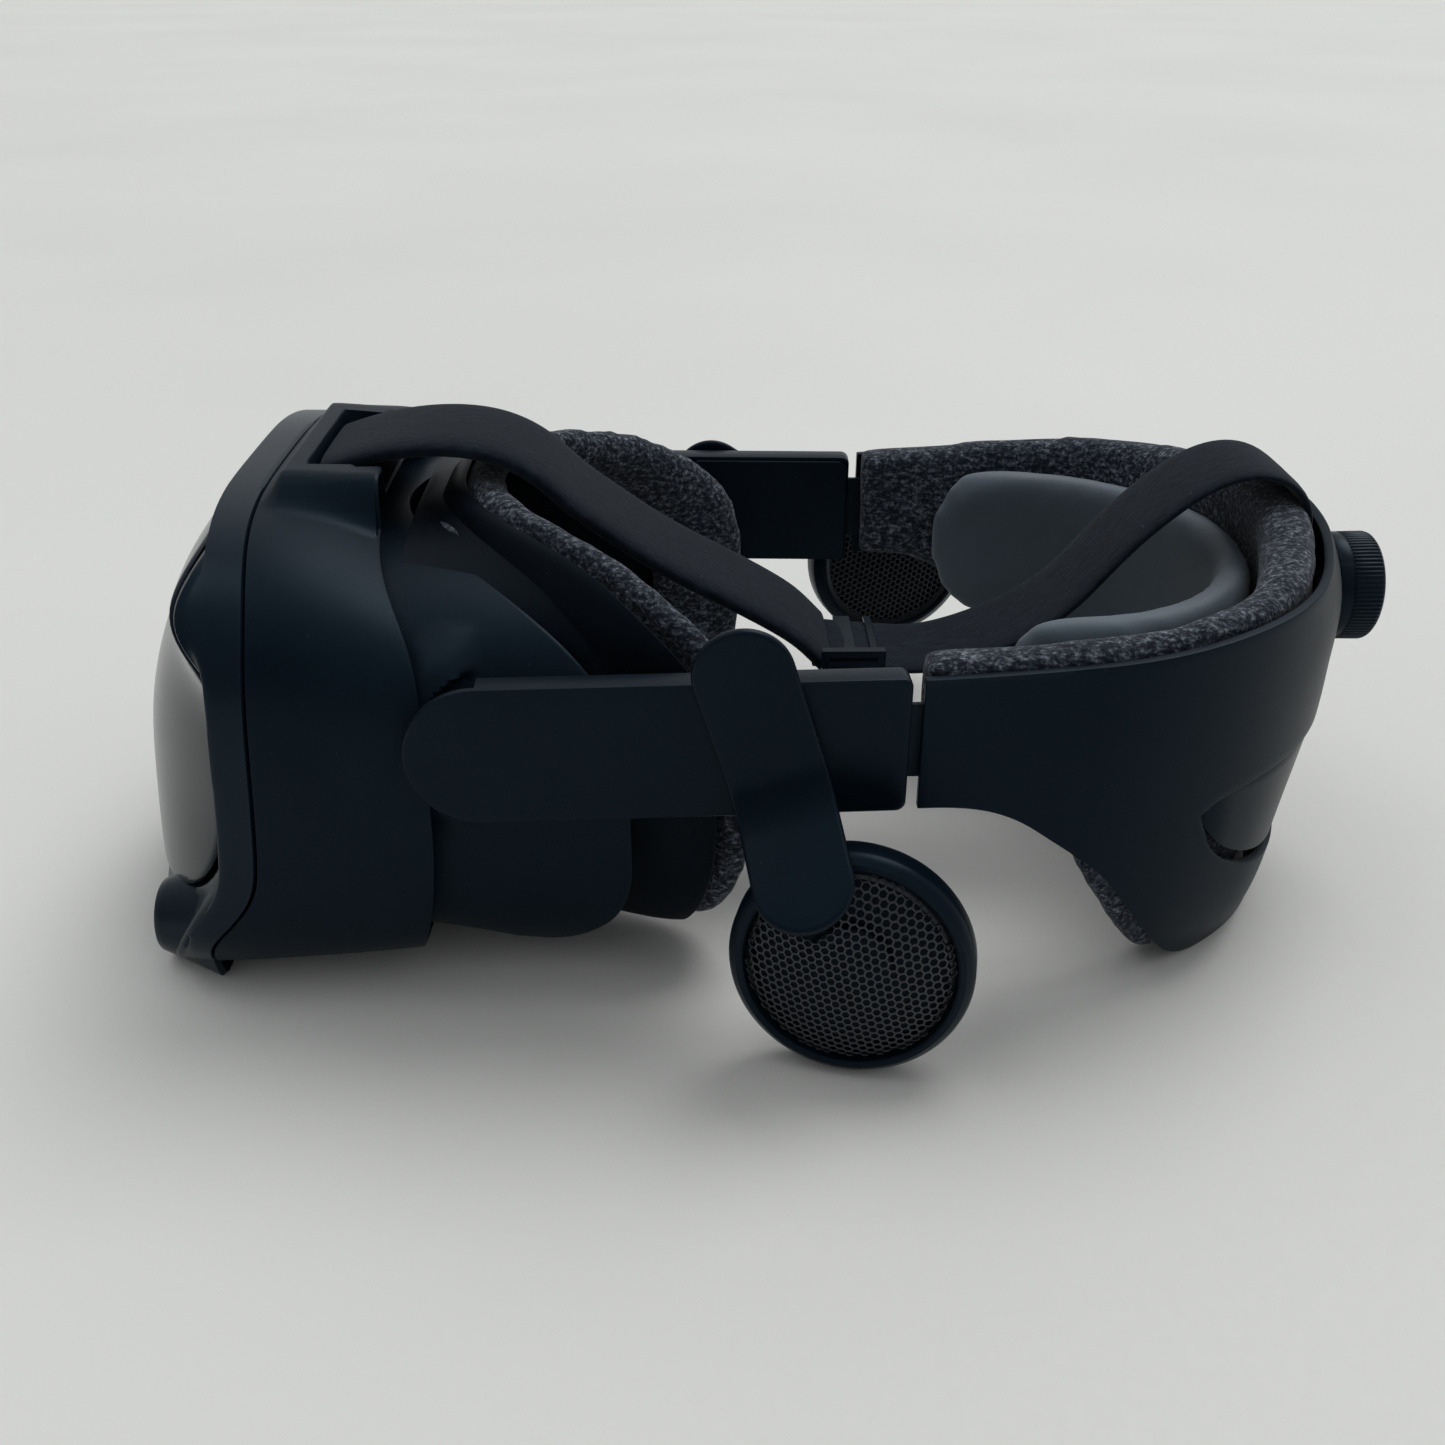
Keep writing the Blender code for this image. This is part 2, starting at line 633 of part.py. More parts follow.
def arm_place(side):
    """Length along +Y, height along +Z, thickness outward, turned by the taper."""
    flip = Matrix.Scale(side, 4, (1, 0, 0))
    turn = Matrix.Rotation(ARM_TAPER, 4, "Z")
    axes = Matrix(((0, 0, 1, 0), (1, 0, 0, 0), (0, 1, 0, 0), (0, 0, 0, 1)))
    corner = Matrix.Translation(Vector((ARM_REAR_X, ARM_REAR_Y, PIVOT_Z)) * MM)
    return flip @ corner @ turn @ axes


def build_arm(side, label):
    place = arm_place(side)
    arm = prism(f"{label}_arm", arm_outline(), -ARM_THICKNESS, 0, place, "satin")
    notch = []
    for radius, order in ((ARM_CORE_RADIUS, range(9)), (26, range(8, -1, -1))):
        for k in order:
            angle = math.pi / 2 + math.pi * k / 8
            notch.append((radius * math.cos(angle), radius * math.sin(angle)))
    turn = Matrix(((0, 0, 1, 0), (1, 0, 0, PIVOT_Y * MM), (0, 1, 0, PIVOT_Z * MM), (0, 0, 0, 1)))
    tip_cut = prism(f"{label}_tip_cut", notch, *sorted((side * 70, side * 82.2)), turn)
    bore = cylinder(f"{label}_arm_bore", (side * 70, PIVOT_Y, PIVOT_Z),
                    (side * 81.4, PIVOT_Y, PIVOT_Z), PIVOT_RADIUS + GAP)
    reach = sorted((side * 74.8, side * 78.2))
    pocket = block(f"{label}_band_pocket", (reach[0], 8, PIVOT_Z - BAND_HALF_HEIGHT - 0.8),
                   (reach[1], 40, PIVOT_Z + BAND_HALF_HEIGHT + 0.8))
    ear_bore = cylinder(f"{label}_ear_bore", (side * 77.5, EAR_PIVOT_Y, PIVOT_Z),
                        (side * 95, EAR_PIVOT_Y, PIVOT_Z), 5.3, sides=20)
    cut(arm, bore, tip_cut, pocket, ear_bore)
    liner = [(-1, -14.6), (-1, 14.6), (-3, 16.3), (-48, 16.3),
             (-52, 12), (-52, -12), (-48, -16.3), (-3, -16.3)]
    prism(f"{label}_arm_liner", liner, -ARM_THICKNESS - 1.4, -ARM_THICKNESS - GAP, place, "inner")
    ends = sorted((side * 75.6, side * 77.1))
    block(f"{label}_strap_band", (ends[0], 10, PIVOT_Z - BAND_HALF_HEIGHT),
          (ends[1], 71, PIVOT_Z + BAND_HALF_HEIGHT), "inner", 0.3)


# ---- crown -----------------------------------------------------------------------

CROWN_TOPS = ((-40, 90.5), (0, 93.5), (30, 97.5), (60, 100.5), (90, 103))
CROWN_BOTTOMS = ((-40, 57), (-14, 52.5), (-6, 47), (4, 38), (14, 20), (24, 5), (32, 0.4), (90, 0.4))


def crown_stations():
    """Distance forward of the bend (negative), or degrees round it, and the side."""
    half = [-39.4, -30, -20, -14, -6, 4, 14, 24, 36, 48, 61, 73, 84.5]
    return [(s, 1) for s in half] + [(s, -1) for s in reversed(half)]


def crown_point(station, side, radius):
    """Plan position on the U: straight ahead of the bend, round behind it."""
    if station < 0:
        return side * radius, CROWN_CENTRE_Y + station
    angle = math.radians(station)
    if side == 0:
        return 0.0, CROWN_CENTRE_Y + radius
    return side * radius * math.cos(angle), CROWN_CENTRE_Y + radius * math.sin(angle)


SIDE_LEAN = ((0, -7.5), (12, -2.6), (28, 0), (110, 0))
REAR_LEAN = ((0, -7.5), (12, -6.8), (24, -5.6), (36, -3.6), (48, -1.3), (58, 0), (90, 0), (103, -5.5))


def crown_lean(station, z):
    """The cup draws in towards the neck, and behind the head the upper edge leans in too."""
    rear = max(0.0, min(1.0, (station - 35) / 35))
    return interpolate(z, SIDE_LEAN) * (1 - rear) + interpolate(z, REAR_LEAN) * rear


def crown_ring(station, side, outer, inner, raise_bottom=0.0, raise_top=0.0):
    top = interpolate(station, CROWN_TOPS) + raise_top
    bottom = interpolate(station, CROWN_BOTTOMS) + raise_bottom
    heights = [bottom + (top - bottom) * share for share in (0, 0.25, 0.5, 0.75, 0.88, 1)]
    ring = []
    for radius, order in ((outer, heights), (inner, heights[::-1])):
        for z in order:
            x, y = crown_point(station, side, radius + crown_lean(station, z))
            ring.append((x, y, z))
    return ring


def sector(name, stations, radii, low, high, finish=None):
    """An arc of band: rings across it at each (station, side)."""
    rings = []
    for station, side in stations:
        inner, outer = (crown_point(station, side, r) for r in radii)
        rings.append([(*outer, low), (*outer, high), (*inner, high), (*inner, low)])
    return skin(name, rings, finish)


def arc_stations(start, end, count):
    """Stations from start to end degrees either side of the rear centre."""
    result = []
    for k in range(count + 1):
        offset = start + (end - start) * k / count
        side = 0 if abs(offset) < 1e-6 else int(math.copysign(1, offset))
        result.append((90 - abs(offset), side))
    return result


def build_crown():
    stations = crown_stations()
    rings = [crown_ring(s, side, CROWN_RADIUS, CROWN_RADIUS - CROWN_WALL) for s, side in stations]
    shell_body = skin("crown_shell", rings, "shell")
    window_rings = []
    for station, side in arc_stations(-64, 64, 12):
        spread = interpolate(90 - station, ((0, 1.0), (50, 0.8), (64, 0.12)))
        high, low = WINDOW_Z + WINDOW_RISE * spread, WINDOW_Z - WINDOW_DROP * spread
        inner, outer = (crown_point(station, side, r) for r in (WINDOW_INNER, WINDOW_OUTER))
        window_rings.append([(*outer, low), (*outer, high), (*inner, high), (*inner, low)])
    window = skin("crown_window_cut", window_rings)
    shaft_hole = cylinder("knob_hole", (0, 140, KNOB_Z), (0, 165, KNOB_Z), 4.0, sides=20)
    cut(shell_body, window, shaft_hole)
    bridge_rings = []
    for station, side in arc_stations(-60, 60, 12):
        ring = []
        for radius, heights in ((76.4, (28, 46, 64)), (74.6, (64, 46, 28))):
            for z in heights:
                x, y = crown_point(station, side, radius + crown_lean(station, z))
                ring.append((x, y, z))
        bridge_rings.append(ring)
    skin("rear_bridge", bridge_rings, "satin")
    pad = [crown_ring(s, side, PAD_OUTER, PAD_INNER, 1.2 if s > 20 else 2.0, 3.4)
           for s, side in stations]
    skin("crown_pad", pad, "fabric")


def build_cradle():
    """The smooth U insert that holds the back of the head."""
    rings = []
    for station, side in [s for s in crown_stations() if s[0] >= -20]:
        wing = interpolate(station, ((-20, 0.8), (-6, 1.0), (90, 1.0)))
        high = 50 + 46 * wing
        low = interpolate(station, ((-20, 56), (-6, 46), (24, 40), (90, 40)))
        ring = []
        for radius, z in ((58.6, low), (58.6, high - 5), (55, high), (50, high), (46.5, high - 6),
                          (51, (low + high) / 2), (50, low + 4), (54, low)):
            x, y = crown_point(station, side, radius + crown_lean(station, z))
            ring.append((x, y, z))
        rings.append(ring)
    skin("cradle_pad", rings, "foam")


def build_adjuster():
    turned("crown_knob", [
        (0, KNOB_DEPTH), (12.6, KNOB_DEPTH), (KNOB_RADIUS, KNOB_DEPTH - 1.8), (KNOB_RADIUS, 0),
        (3.6, 0), (3.6, -4.6), (0, -4.6)],
        (0, KNOB_REAR_Y - KNOB_DEPTH, KNOB_Z), (0, 1, 0), "satin", 28)
    gear("adjuster_pinion", (0, 149, KNOB_Z), (-1.2, 1.2), ADJUST_PINION_RADIUS, 14, "metal")
    offset = ADJUST_PINION_RADIUS + 0.9
    for label, side, sign in (("left", 1, 1), ("right", -1, -1)):
        low, high = sorted((KNOB_Z + sign * offset, KNOB_Z + sign * (offset + 3.2)))
        stations = arc_stations(-27 * side, 20 * side, 12)
        radii = (RACK_RADIUS - 0.9, RACK_RADIUS + 0.9)
        sector(f"adjuster_rack_{label}", stations, radii, low, high, "inner")


# ---- ear speakers ------------------------------------------------------------------

def ear_place(side):
    """Ear assemblies are drawn on the left, then mirrored and swung to the right."""
    if side > 0:
        return Matrix.Identity(4)
    pivot = Vector((0, EAR_PIVOT_Y, PIVOT_Z)) * MM
    swing = Matrix.Rotation(RIGHT_EAR_SWING, 4, "X")
    about = Matrix.Translation(pivot) @ swing @ Matrix.Translation(-pivot)
    return Matrix.Scale(-1, 4, (1, 0, 0)) @ about


def ear_slide_place(side):
    slide = 0 if side > 0 else RIGHT_EAR_SLIDE
    return ear_place(side) @ Matrix.Translation(ear_point(slide, 0, 0) * MM - ear_point(0, 0, 0) * MM)


def apply_place(item, place):
    item.data.transform(place)
    if place.determinant() < 0:
        item.data.flip_normals()


def ear_point(down, across, x):
    """A place on the leaning ear arm, from its pivot."""
    c, s = math.cos(EAR_TILT), math.sin(EAR_TILT)
    return Vector((x, EAR_PIVOT_Y + down * s + across * c, PIVOT_Z - down * c + across * s))


def ear_arm_normal(angle):
    """Outward from the arm's face where it flares by an angle."""
    return Vector((math.cos(angle), -math.sin(angle) * math.sin(EAR_TILT),
                   math.sin(angle) * math.cos(EAR_TILT)))


def ear_arm_walk(length):
    """Inner-face point and flare angle at a length along the arm from its top end."""
    angles = [math.atan2(b[1] - a[1], b[0] - a[0]) for a, b in zip(EAR_PATH, EAR_PATH[1:])]
    for k, (a, b) in enumerate(zip(EAR_PATH, EAR_PATH[1:])):
        piece = math.dist(a, b)
        last = k == len(angles) - 1
        if length <= piece or last:
            t = length / piece
            blend = (angles[k] + angles[k + 1]) / 2 if t > 0.999 and not last else angles[k]
            return a[0] + (b[0] - a[0]) * t, a[1] + (b[1] - a[1]) * t, blend
        length -= piece


def ear_arm_rings():
    """Cross-sections along the plate, with round ends and the lower part flared out."""
    pieces = [math.dist(a, b) for a, b in zip(EAR_PATH, EAR_PATH[1:])]
    total = sum(pieces)
    ends = [0.4, 1.6, 4.0, 7.5, EAR_ARM_RADIUS]
    bends = [pieces[0], pieces[0] + pieces[1]]
    rings = []
    for length in ends + bends + [total - e for e in reversed(ends)]:
        from_end = min(length, total - length, EAR_ARM_RADIUS)
        half = math.sqrt(EAR_ARM_RADIUS ** 2 - (EAR_ARM_RADIUS - from_end) ** 2)
        down, x, angle = ear_arm_walk(length)
        thick = ear_arm_normal(angle) * EAR_ARM_THICKNESS
        low, high = ear_point(down, -half, x), ear_point(down, half, x)
        rings.append([low, high, high + thick, low + thick])
    return rings


def leaning_block(name, across, down, x):
    """A block square to the leaning arm, given its half width and its spans."""
    item = block(name, (x[0], -across, -down[1]), (x[1], across, -down[0]))
    pivot = Vector((0, EAR_PIVOT_Y, PIVOT_Z)) * MM
    item.data.transform(Matrix.Translation(pivot) @ Matrix.Rotation(EAR_TILT, 4, "X"))
    return item


def speaker_axis():
    c = math.cos(SPEAKER_TILT)
    return Vector((c * math.cos(SPEAKER_YAW), c * math.sin(SPEAKER_YAW), math.sin(SPEAKER_TILT)))


def neck_line():
    """The neck's start on the arm and its direction, in towards the speaker."""
    (first, x0), (last, x1) = EAR_PATH[-2:]
    x = x0 + (x1 - x0) * (NECK_DOWN - first) / (last - first)
    return ear_point(NECK_DOWN, 0, x), -ear_arm_normal(math.atan2(x1 - x0, last - first))


def build_speaker(label, place):
    centre, axis = Vector(SPEAKER_CENTRE), speaker_axis()
    housing = turned(f"{label}_speaker_housing", [
        (24.8, 5.4), (SPEAKER_RADIUS - 2.0, 5.4), (SPEAKER_RADIUS, 3.0), (SPEAKER_RADIUS, -3.2),
        (SPEAKER_RADIUS - 3.0, -6.0), (24.8, -6.0)], centre, axis, "satin", 26)
    grille = turned(f"{label}_speaker_grille", [
        (0, 10.6), (14, 8.6), (24.4, 3.6), (24.4, 2.2), (13, 7.0), (0, 9.0)],
        centre, axis, "dark_metal", 26)
    start, inward = neck_line()
    hole = cylinder(f"{label}_neck_hole", start - inward, start + inward * (NECK_LENGTH + 2), 5.8, sides=16)
    cut(grille, hole)
    inner = turned(f"{label}_speaker_ear_grille", [
        (0, -4.4), (24.4, -3.4), (24.4, -4.8), (0, -6.0)], centre, axis, "dark_metal", 26)
    driver = turned(f"{label}_speaker_driver", [
        (0, 2.0), (8.6, 2.0), (8.6, 0.0), (22, -1.0), (22, -2.4), (0, -3.4)],
        centre, axis, "inner", 20)
    for item in (housing, grille, inner, driver, hole):
        apply_place(item, place)


def build_ear(side, label):
    pivot = cylinder(f"{label}_ear_pivot", (77.9, EAR_PIVOT_Y, PIVOT_Z), (82.8, EAR_PIVOT_Y, PIVOT_Z),
                     5.0, "metal", 16)
    key = leaning_block(f"{label}_ear_key", 4.0, (-6, 6), (82.2, 85.0))
    join(pivot, key)
    arm = skin(f"{label}_ear_arm", ear_arm_rings(), "satin")
    slot = leaning_block(f"{label}_ear_slot", 4.4, (-22.4, 8.0), (82.0, 84.2 + EAR_SLOT_DEPTH))
    cut(arm, slot)
    start, inward = neck_line()
    ball = NECK_LENGTH
    hub = turned(f"{label}_ear_hub", [
        (0, -0.4), (NECK_RADIUS, -0.4), (NECK_RADIUS, 2.4 - ball), (BALL_RADIUS, -ball),
        (2.6, -2.8 - ball), (0, -BALL_RADIUS - ball)], start, -inward, "inner", 14)
    for item in (pivot, key):
        apply_place(item, ear_place(side))
    for item in (arm, slot, hub):
        apply_place(item, ear_slide_place(side))
    build_speaker(label, ear_slide_place(side))


# ---- top strap ---------------------------------------------------------------------

FRONT_STRAP = ((-110, 118.8), (-103, 121), (-94, 123), (-81, 124.4), (-67, 121.8), (-57, 116.4),
               (-48.6, 108.7), (-38.8, 101), (-26, 92), (-9.5, 82.6), (4, 74.4), (15.6, 67.2))
REAR_STRAP = ((34.6, 60.2), (44, 59.8), (56, 62.4), (70, 68.4), (83, 77.5), (91, 86.8),
              (99, 96.5), (108, 105.2), (120, 113.4), (131, 115), (140, 112.6), (149.4, 106.6))


def ribbon(name, path, half_width, thickness, finish):
    """A flat strap along a path in Y and Z, its thickness square to the path."""
    rings = []
    for k, (y, z) in enumerate(path):
        before, after = path[max(k - 1, 0)], path[min(k + 1, len(path) - 1)]
        along = Vector((0, after[0] - before[0], after[1] - before[1])).normalized()
        normal = Vector((0, -along.z, along.y)) * thickness / 2
        centre = Vector((0, y, z))
        side = Vector((half_width, 0, 0))
        rings.append([centre - side - normal, centre + side - normal,
                      centre + side + normal, centre - side + normal])
    return skin(name, rings, finish)


def build_top_strap():
    ribbon("top_strap_front", FRONT_STRAP, STRAP_HALF_WIDTH, STRAP_THICKNESS, "felt")
    ribbon("top_strap_rear", REAR_STRAP, REAR_STRAP_HALF_WIDTH, REAR_STRAP_THICKNESS, "felt")
    buckle = block("strap_buckle", (-22, BUCKLE_Y - BUCKLE_HALF_DEPTH, BUCKLE_Z - 4),
                   (22, BUCKLE_Y + BUCKLE_HALF_DEPTH, BUCKLE_Z + 4), "inner", 1.2)
    for offset in (-4.4, 4.4):
        middle = BUCKLE_Y + offset
        slot = block(f"buckle_slot_{offset}", (-17, middle - 2, 40), (17, middle + 2, 90))
        cut(buckle, slot)


def build():
    build_visor()
    build_carriage()
    build_gasket()
    for side, label in ((1, "left"), (-1, "right")):
        build_arm(side, label)
        build_ear(side, label)
    build_crown()
    build_cradle()
    build_adjuster()
    build_top_strap()


clear_scene()
PARTS = make_collection(NAME)
CUTTERS = make_collection("cutters")
build()
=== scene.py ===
"""Looks of the VR headset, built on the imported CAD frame. Sizes below are in millimetres."""
import math

import bmesh
import bpy
import numpy as np
from mathutils import Matrix, Vector


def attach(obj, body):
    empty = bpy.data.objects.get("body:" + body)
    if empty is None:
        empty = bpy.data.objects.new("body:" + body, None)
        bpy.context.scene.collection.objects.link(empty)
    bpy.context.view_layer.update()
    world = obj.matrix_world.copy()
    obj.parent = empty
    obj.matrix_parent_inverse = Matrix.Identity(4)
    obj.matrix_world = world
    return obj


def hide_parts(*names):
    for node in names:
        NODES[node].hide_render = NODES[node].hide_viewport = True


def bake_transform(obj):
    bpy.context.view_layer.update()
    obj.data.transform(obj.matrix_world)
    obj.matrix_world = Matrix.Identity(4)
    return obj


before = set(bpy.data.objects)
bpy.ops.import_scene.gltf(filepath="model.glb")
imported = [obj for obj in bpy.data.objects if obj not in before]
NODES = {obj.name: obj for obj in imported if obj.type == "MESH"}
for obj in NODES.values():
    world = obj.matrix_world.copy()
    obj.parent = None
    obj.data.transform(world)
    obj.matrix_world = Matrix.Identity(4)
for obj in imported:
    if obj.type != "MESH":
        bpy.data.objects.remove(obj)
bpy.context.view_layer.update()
MM = 0.001
PIVOT = (-66.0, 73.5)
TAPER = math.radians(2.27)
CROWN_Y, CROWN_RADIUS = 74.0, 80.0
WINDOW_Z, WINDOW_DROP, WINDOW_RISE = 50.5, 27, 7
WINDOW_HALF_ANGLE = 67
GASKET_FRONT_Y = -88
SMALL_GASKET = (67.4, 12.5, 103.4)      # half width, bottom and top where it enters the carriage
LARGE_GASKET = (70.5, 4.5, 114)         # and at its rim
CAMERA_X, CAMERA_Z = 55, 10.6
VIEW_AZIMUTH, VIEW_ELEVATION = math.radians(89.0), math.radians(28.96)
KNOB_Z = 78.1
EAR_TILT = math.radians(17)
SPEAKER = Vector((100.0, 18.6, 29.0))


# ---- small tools ---------------------------------------------------------------

def lerp(table):
    """Smooth curve through a short table of (value, result): a natural cubic spline."""
    xs = np.array([a for a, _ in table], float)
    ys = np.array([b for _, b in table], float)
    n = len(xs)
    h = np.diff(xs)
    a = np.eye(n)
    r = np.zeros(n)
    for i in range(1, n - 1):
        a[i, i - 1:i + 2] = h[i - 1], 2 * (h[i - 1] + h[i]), h[i]
        r[i] = 6 * ((ys[i + 1] - ys[i]) / h[i] - (ys[i] - ys[i - 1]) / h[i - 1])
    m = np.linalg.solve(a, r)

    def at(v):
        v = np.clip(np.asarray(v, float), xs[0], xs[-1])
        k = np.clip(np.searchsorted(xs, v, side="right") - 1, 0, n - 2)
        d, e, w = xs[k + 1] - v, v - xs[k], h[k]
        out = (m[k] * d ** 3 + m[k + 1] * e ** 3) / (6 * w)
        out += (ys[k] / w - m[k] * w / 6) * d + (ys[k + 1] / w - m[k + 1] * w / 6) * e
        return out if out.shape else float(out)
    return at


def line(table):
    xs, ys = zip(*table)
    return lambda v: np.interp(v, xs, ys)


def ease(a, b, v):
    t = np.clip((np.asarray(v, float) - a) / (b - a), 0, 1)
    return t * t * (3 - 2 * t)


def make(name, points, faces, material, body, replaces=(), sharp=35, merge=0.02):
    """One piece from points in mm and faces, normals outward, riding on a CAD body."""
    bm = bmesh.new()
    verts = [bm.verts.new(Vector(p) * MM) for p in points]
    for face in faces:
        if len(set(face)) > 2:
            bm.faces.new([verts[i] for i in face])
    bmesh.ops.remove_doubles(bm, verts=bm.verts, dist=merge * MM)
    bmesh.ops.dissolve_degenerate(bm, edges=bm.edges, dist=1e-7)
    bmesh.ops.recalc_face_normals(bm, faces=bm.faces)
    mesh = bpy.data.meshes.new(name)
    bm.to_mesh(mesh)
    bm.free()
    return settle(bpy.data.objects.new(name, mesh), material, body, replaces, sharp)


def raw(name, points, faces, merge=0.02):
    """A piece that is shaped further before it rides."""
    bm = bmesh.new()
    verts = [bm.verts.new(Vector(p) * MM) for p in points]
    for face in faces:
        bm.faces.new([verts[i] for i in face])
    bmesh.ops.remove_doubles(bm, verts=bm.verts, dist=merge * MM)
    bmesh.ops.recalc_face_normals(bm, faces=bm.faces)
    mesh = bpy.data.meshes.new(name)
    bm.to_mesh(mesh)
    bm.free()
    item = bpy.data.objects.new(name, mesh)
    bpy.context.scene.collection.objects.link(item)
    return item


def bake(item):
    """The item's modifiers become its mesh."""
    bpy.context.view_layer.update()
    graph = bpy.context.evaluated_depsgraph_get()
    mesh = bpy.data.meshes.new_from_object(item.evaluated_get(graph))
    item.modifiers.clear()
    item.data = mesh


def places(item):
    co = np.empty(len(item.data.vertices) * 3)
    item.data.vertices.foreach_get("co", co)
    return co.reshape(-1, 3)


def put(item, co):
    item.data.vertices.foreach_set("co", co.reshape(-1))
    item.data.update()


def puff(item, voxel, pressure, cap, pinned, frames=20):
    """Swells a closed pad as stuffed cloth: remesh, pressure, a cap on each point's travel."""
    step = item.modifiers.new("remesh", "REMESH")
    step.mode, step.voxel_size = "VOXEL", voxel * MM
    bake(item)
    base = places(item)
    group = item.vertex_groups.new(name="held")
    group.add([i for i, p in enumerate(base / MM) if pinned(*p)], 1.0, "REPLACE")
    cloth = item.modifiers.new("cloth", "CLOTH")
    setting = cloth.settings
    setting.quality = 6
    setting.mass = 0.3
    setting.tension_stiffness = setting.compression_stiffness = 12
    setting.bending_stiffness = 0.6
    setting.use_pressure = True
    setting.uniform_pressure_force = pressure
    setting.effector_weights.gravity = 0
    setting.vertex_group_mass = "held"
    cloth.point_cache.frame_start, cloth.point_cache.frame_end = 1, frames
    for f in range(1, frames + 1):
        bpy.context.scene.frame_set(f)
    bake(item)
    moved = places(item)
    item.vertex_groups.clear()
    step = moved - base
    length = np.maximum(np.linalg.norm(step, axis=1, keepdims=True), 1e-9)
    put(item, base + step * np.minimum(1, cap * MM / length))
    bpy.context.scene.frame_set(1)
    smooth = item.modifiers.new("smooth", "SMOOTH")
    smooth.factor, smooth.iterations = 0.5, 10
    fine = item.modifiers.new("fine", "SUBSURF")
    fine.levels = fine.render_levels = 1
    bake(item)
    return item


def settle(item, material, body, replaces=(), sharp=35):
    if item.name not in bpy.context.scene.collection.objects:
        bpy.context.scene.collection.objects.link(item)
    item.data.materials.clear()
    item.data.materials.append(material)
    item.data.shade_smooth()
    if sharp:
        item.data.set_sharp_from_angle(angle=math.radians(sharp))
    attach(item, body)
    if replaces:
        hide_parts(*replaces)
    return item


def grid(rows, wrap=False, caps=False):
    """Points and quads of a list of rows of points, wrapped round, and capped at both ends."""
    n = len(rows[0])
    points = [p for row in rows for p in row]
    faces = []
    for r in range(len(rows) - 1):
        for i in range(n if wrap else n - 1):
            j = (i + 1) % n
            faces.append((r * n + i, r * n + j, (r + 1) * n + j, (r + 1) * n + i))
    if caps:
        faces.append(tuple(range(n)))
        faces.append(tuple(range((len(rows) - 1) * n, len(rows) * n)))
    return points, faces


def between(rings, per=6):
    """Rings smoothly filled in between the given ones."""
    a = np.array(rings, float)
    t = np.linspace(0, len(a) - 1, per * (len(a) - 1) + 1)
    out = []
    for v in t:
        k = min(int(v), len(a) - 2)
        u = v - k
        p0 = a[k - 1] if k else 2 * a[0] - a[1]
        p3 = a[k + 2] if k + 2 < len(a) else 2 * a[-1] - a[-2]
        p1, p2 = a[k], a[k + 1]
        out.append(0.5 * (2 * p1 + (p2 - p0) * u + (2 * p0 - 5 * p1 + 4 * p2 - p3) * u * u
                          + (3 * p1 - p0 - 3 * p2 + p3) * u ** 3))
    return out


def thicken(item, thickness, offset=-1.0, bevel=0.0):
    wall = item.modifiers.new("wall", "SOLIDIFY")
    wall.thickness = thickness * MM
    wall.offset = offset
    if bevel:
        edge = item.modifiers.new("edges", "BEVEL")
        edge.width = bevel * MM
        edge.segments = 3
        edge.limit_method = "ANGLE"
        edge.angle_limit = math.radians(50)
    return item


def turned(name, profile, place, material, body, replaces=(), steps=72, sharp=30):
    """A profile of (radius, height) turned about its own Z, then placed."""
    rows = []
    for k in range(steps):
        a = math.tau * k / steps
        rows.append([place @ Vector((r * math.cos(a), r * math.sin(a), h)) for r, h in profile])
    rows.append(rows[0])
    points, faces = grid(rows)
    return make(name, points, faces, material, body, replaces, sharp)


def place_on(centre, axis):
    turn = Vector((0, 0, 1)).rotation_difference(Vector(axis)).to_matrix().to_4x4()
    return Matrix.Translation(Vector(centre)) @ turn


def oval(hw, bottom, top, upper=3.2, lower=5.0, count=160):
    mid = (bottom + top) / 2
    out = []
    for k in range(count):
        a = math.tau * (k + 0.5) / count
        a -= 0.13 * math.sin(4 * a)
        c, s = math.cos(a), math.sin(a)
        p = 2 / (upper if s > 0 else lower)
        x = hw * math.copysign(abs(c) ** p, c)
        z = mid + (top - mid) * math.copysign(abs(s) ** p, s)
        out.append((x, max(z, 0.0)))
    return out


# ---- materials -------------------------------------------------------------------

def tree(name):
    m = bpy.data.materials.new(name)
    m.use_nodes = True
    n = m.node_tree
    n.nodes.clear()
    out = n.nodes.new("ShaderNodeOutputMaterial")
    bsdf = n.nodes.new("ShaderNodeBsdfPrincipled")
    n.links.new(bsdf.outputs[0], out.inputs[0])
    coord = n.nodes.new("ShaderNodeTexCoord")
    return m, n, bsdf, coord.outputs["Object"]


def noise(n, co, scale, detail=3.0, rough=0.55, stretch=None):
    if stretch:
        m = n.nodes.new("ShaderNodeMapping")
        m.inputs["Scale"].default_value = stretch
        n.links.new(co, m.inputs[0])
        co = m.outputs[0]
    t = n.nodes.new("ShaderNodeTexNoise")
    t.inputs["Scale"].default_value = scale
    t.inputs["Detail"].default_value = detail
    t.inputs["Roughness"].default_value = rough
    n.links.new(co, t.inputs["Vector"])
    return t.outputs["Fac"]


def cells(n, co, scale, feature="F1", stretch=None):
    if stretch:
        m = n.nodes.new("ShaderNodeMapping")
        m.inputs["Scale"].default_value = stretch
        n.links.new(co, m.inputs[0])
        co = m.outputs[0]
    t = n.nodes.new("ShaderNodeTexVoronoi")
    t.feature = feature
    t.inputs["Scale"].default_value = scale
    n.links.new(co, t.inputs["Vector"])
    return t.outputs["Distance"]


def ramp(n, value, stops):
    r = n.nodes.new("ShaderNodeValToRGB")
    e = r.color_ramp.elements
    while len(e) < len(stops):
        e.new(0.5)
    for el, (at, colour) in zip(e, stops):
        el.position = at
        el.color = (*colour, 1) if len(colour) == 3 else colour
    n.links.new(value, r.inputs[0])
    return r.outputs[0]


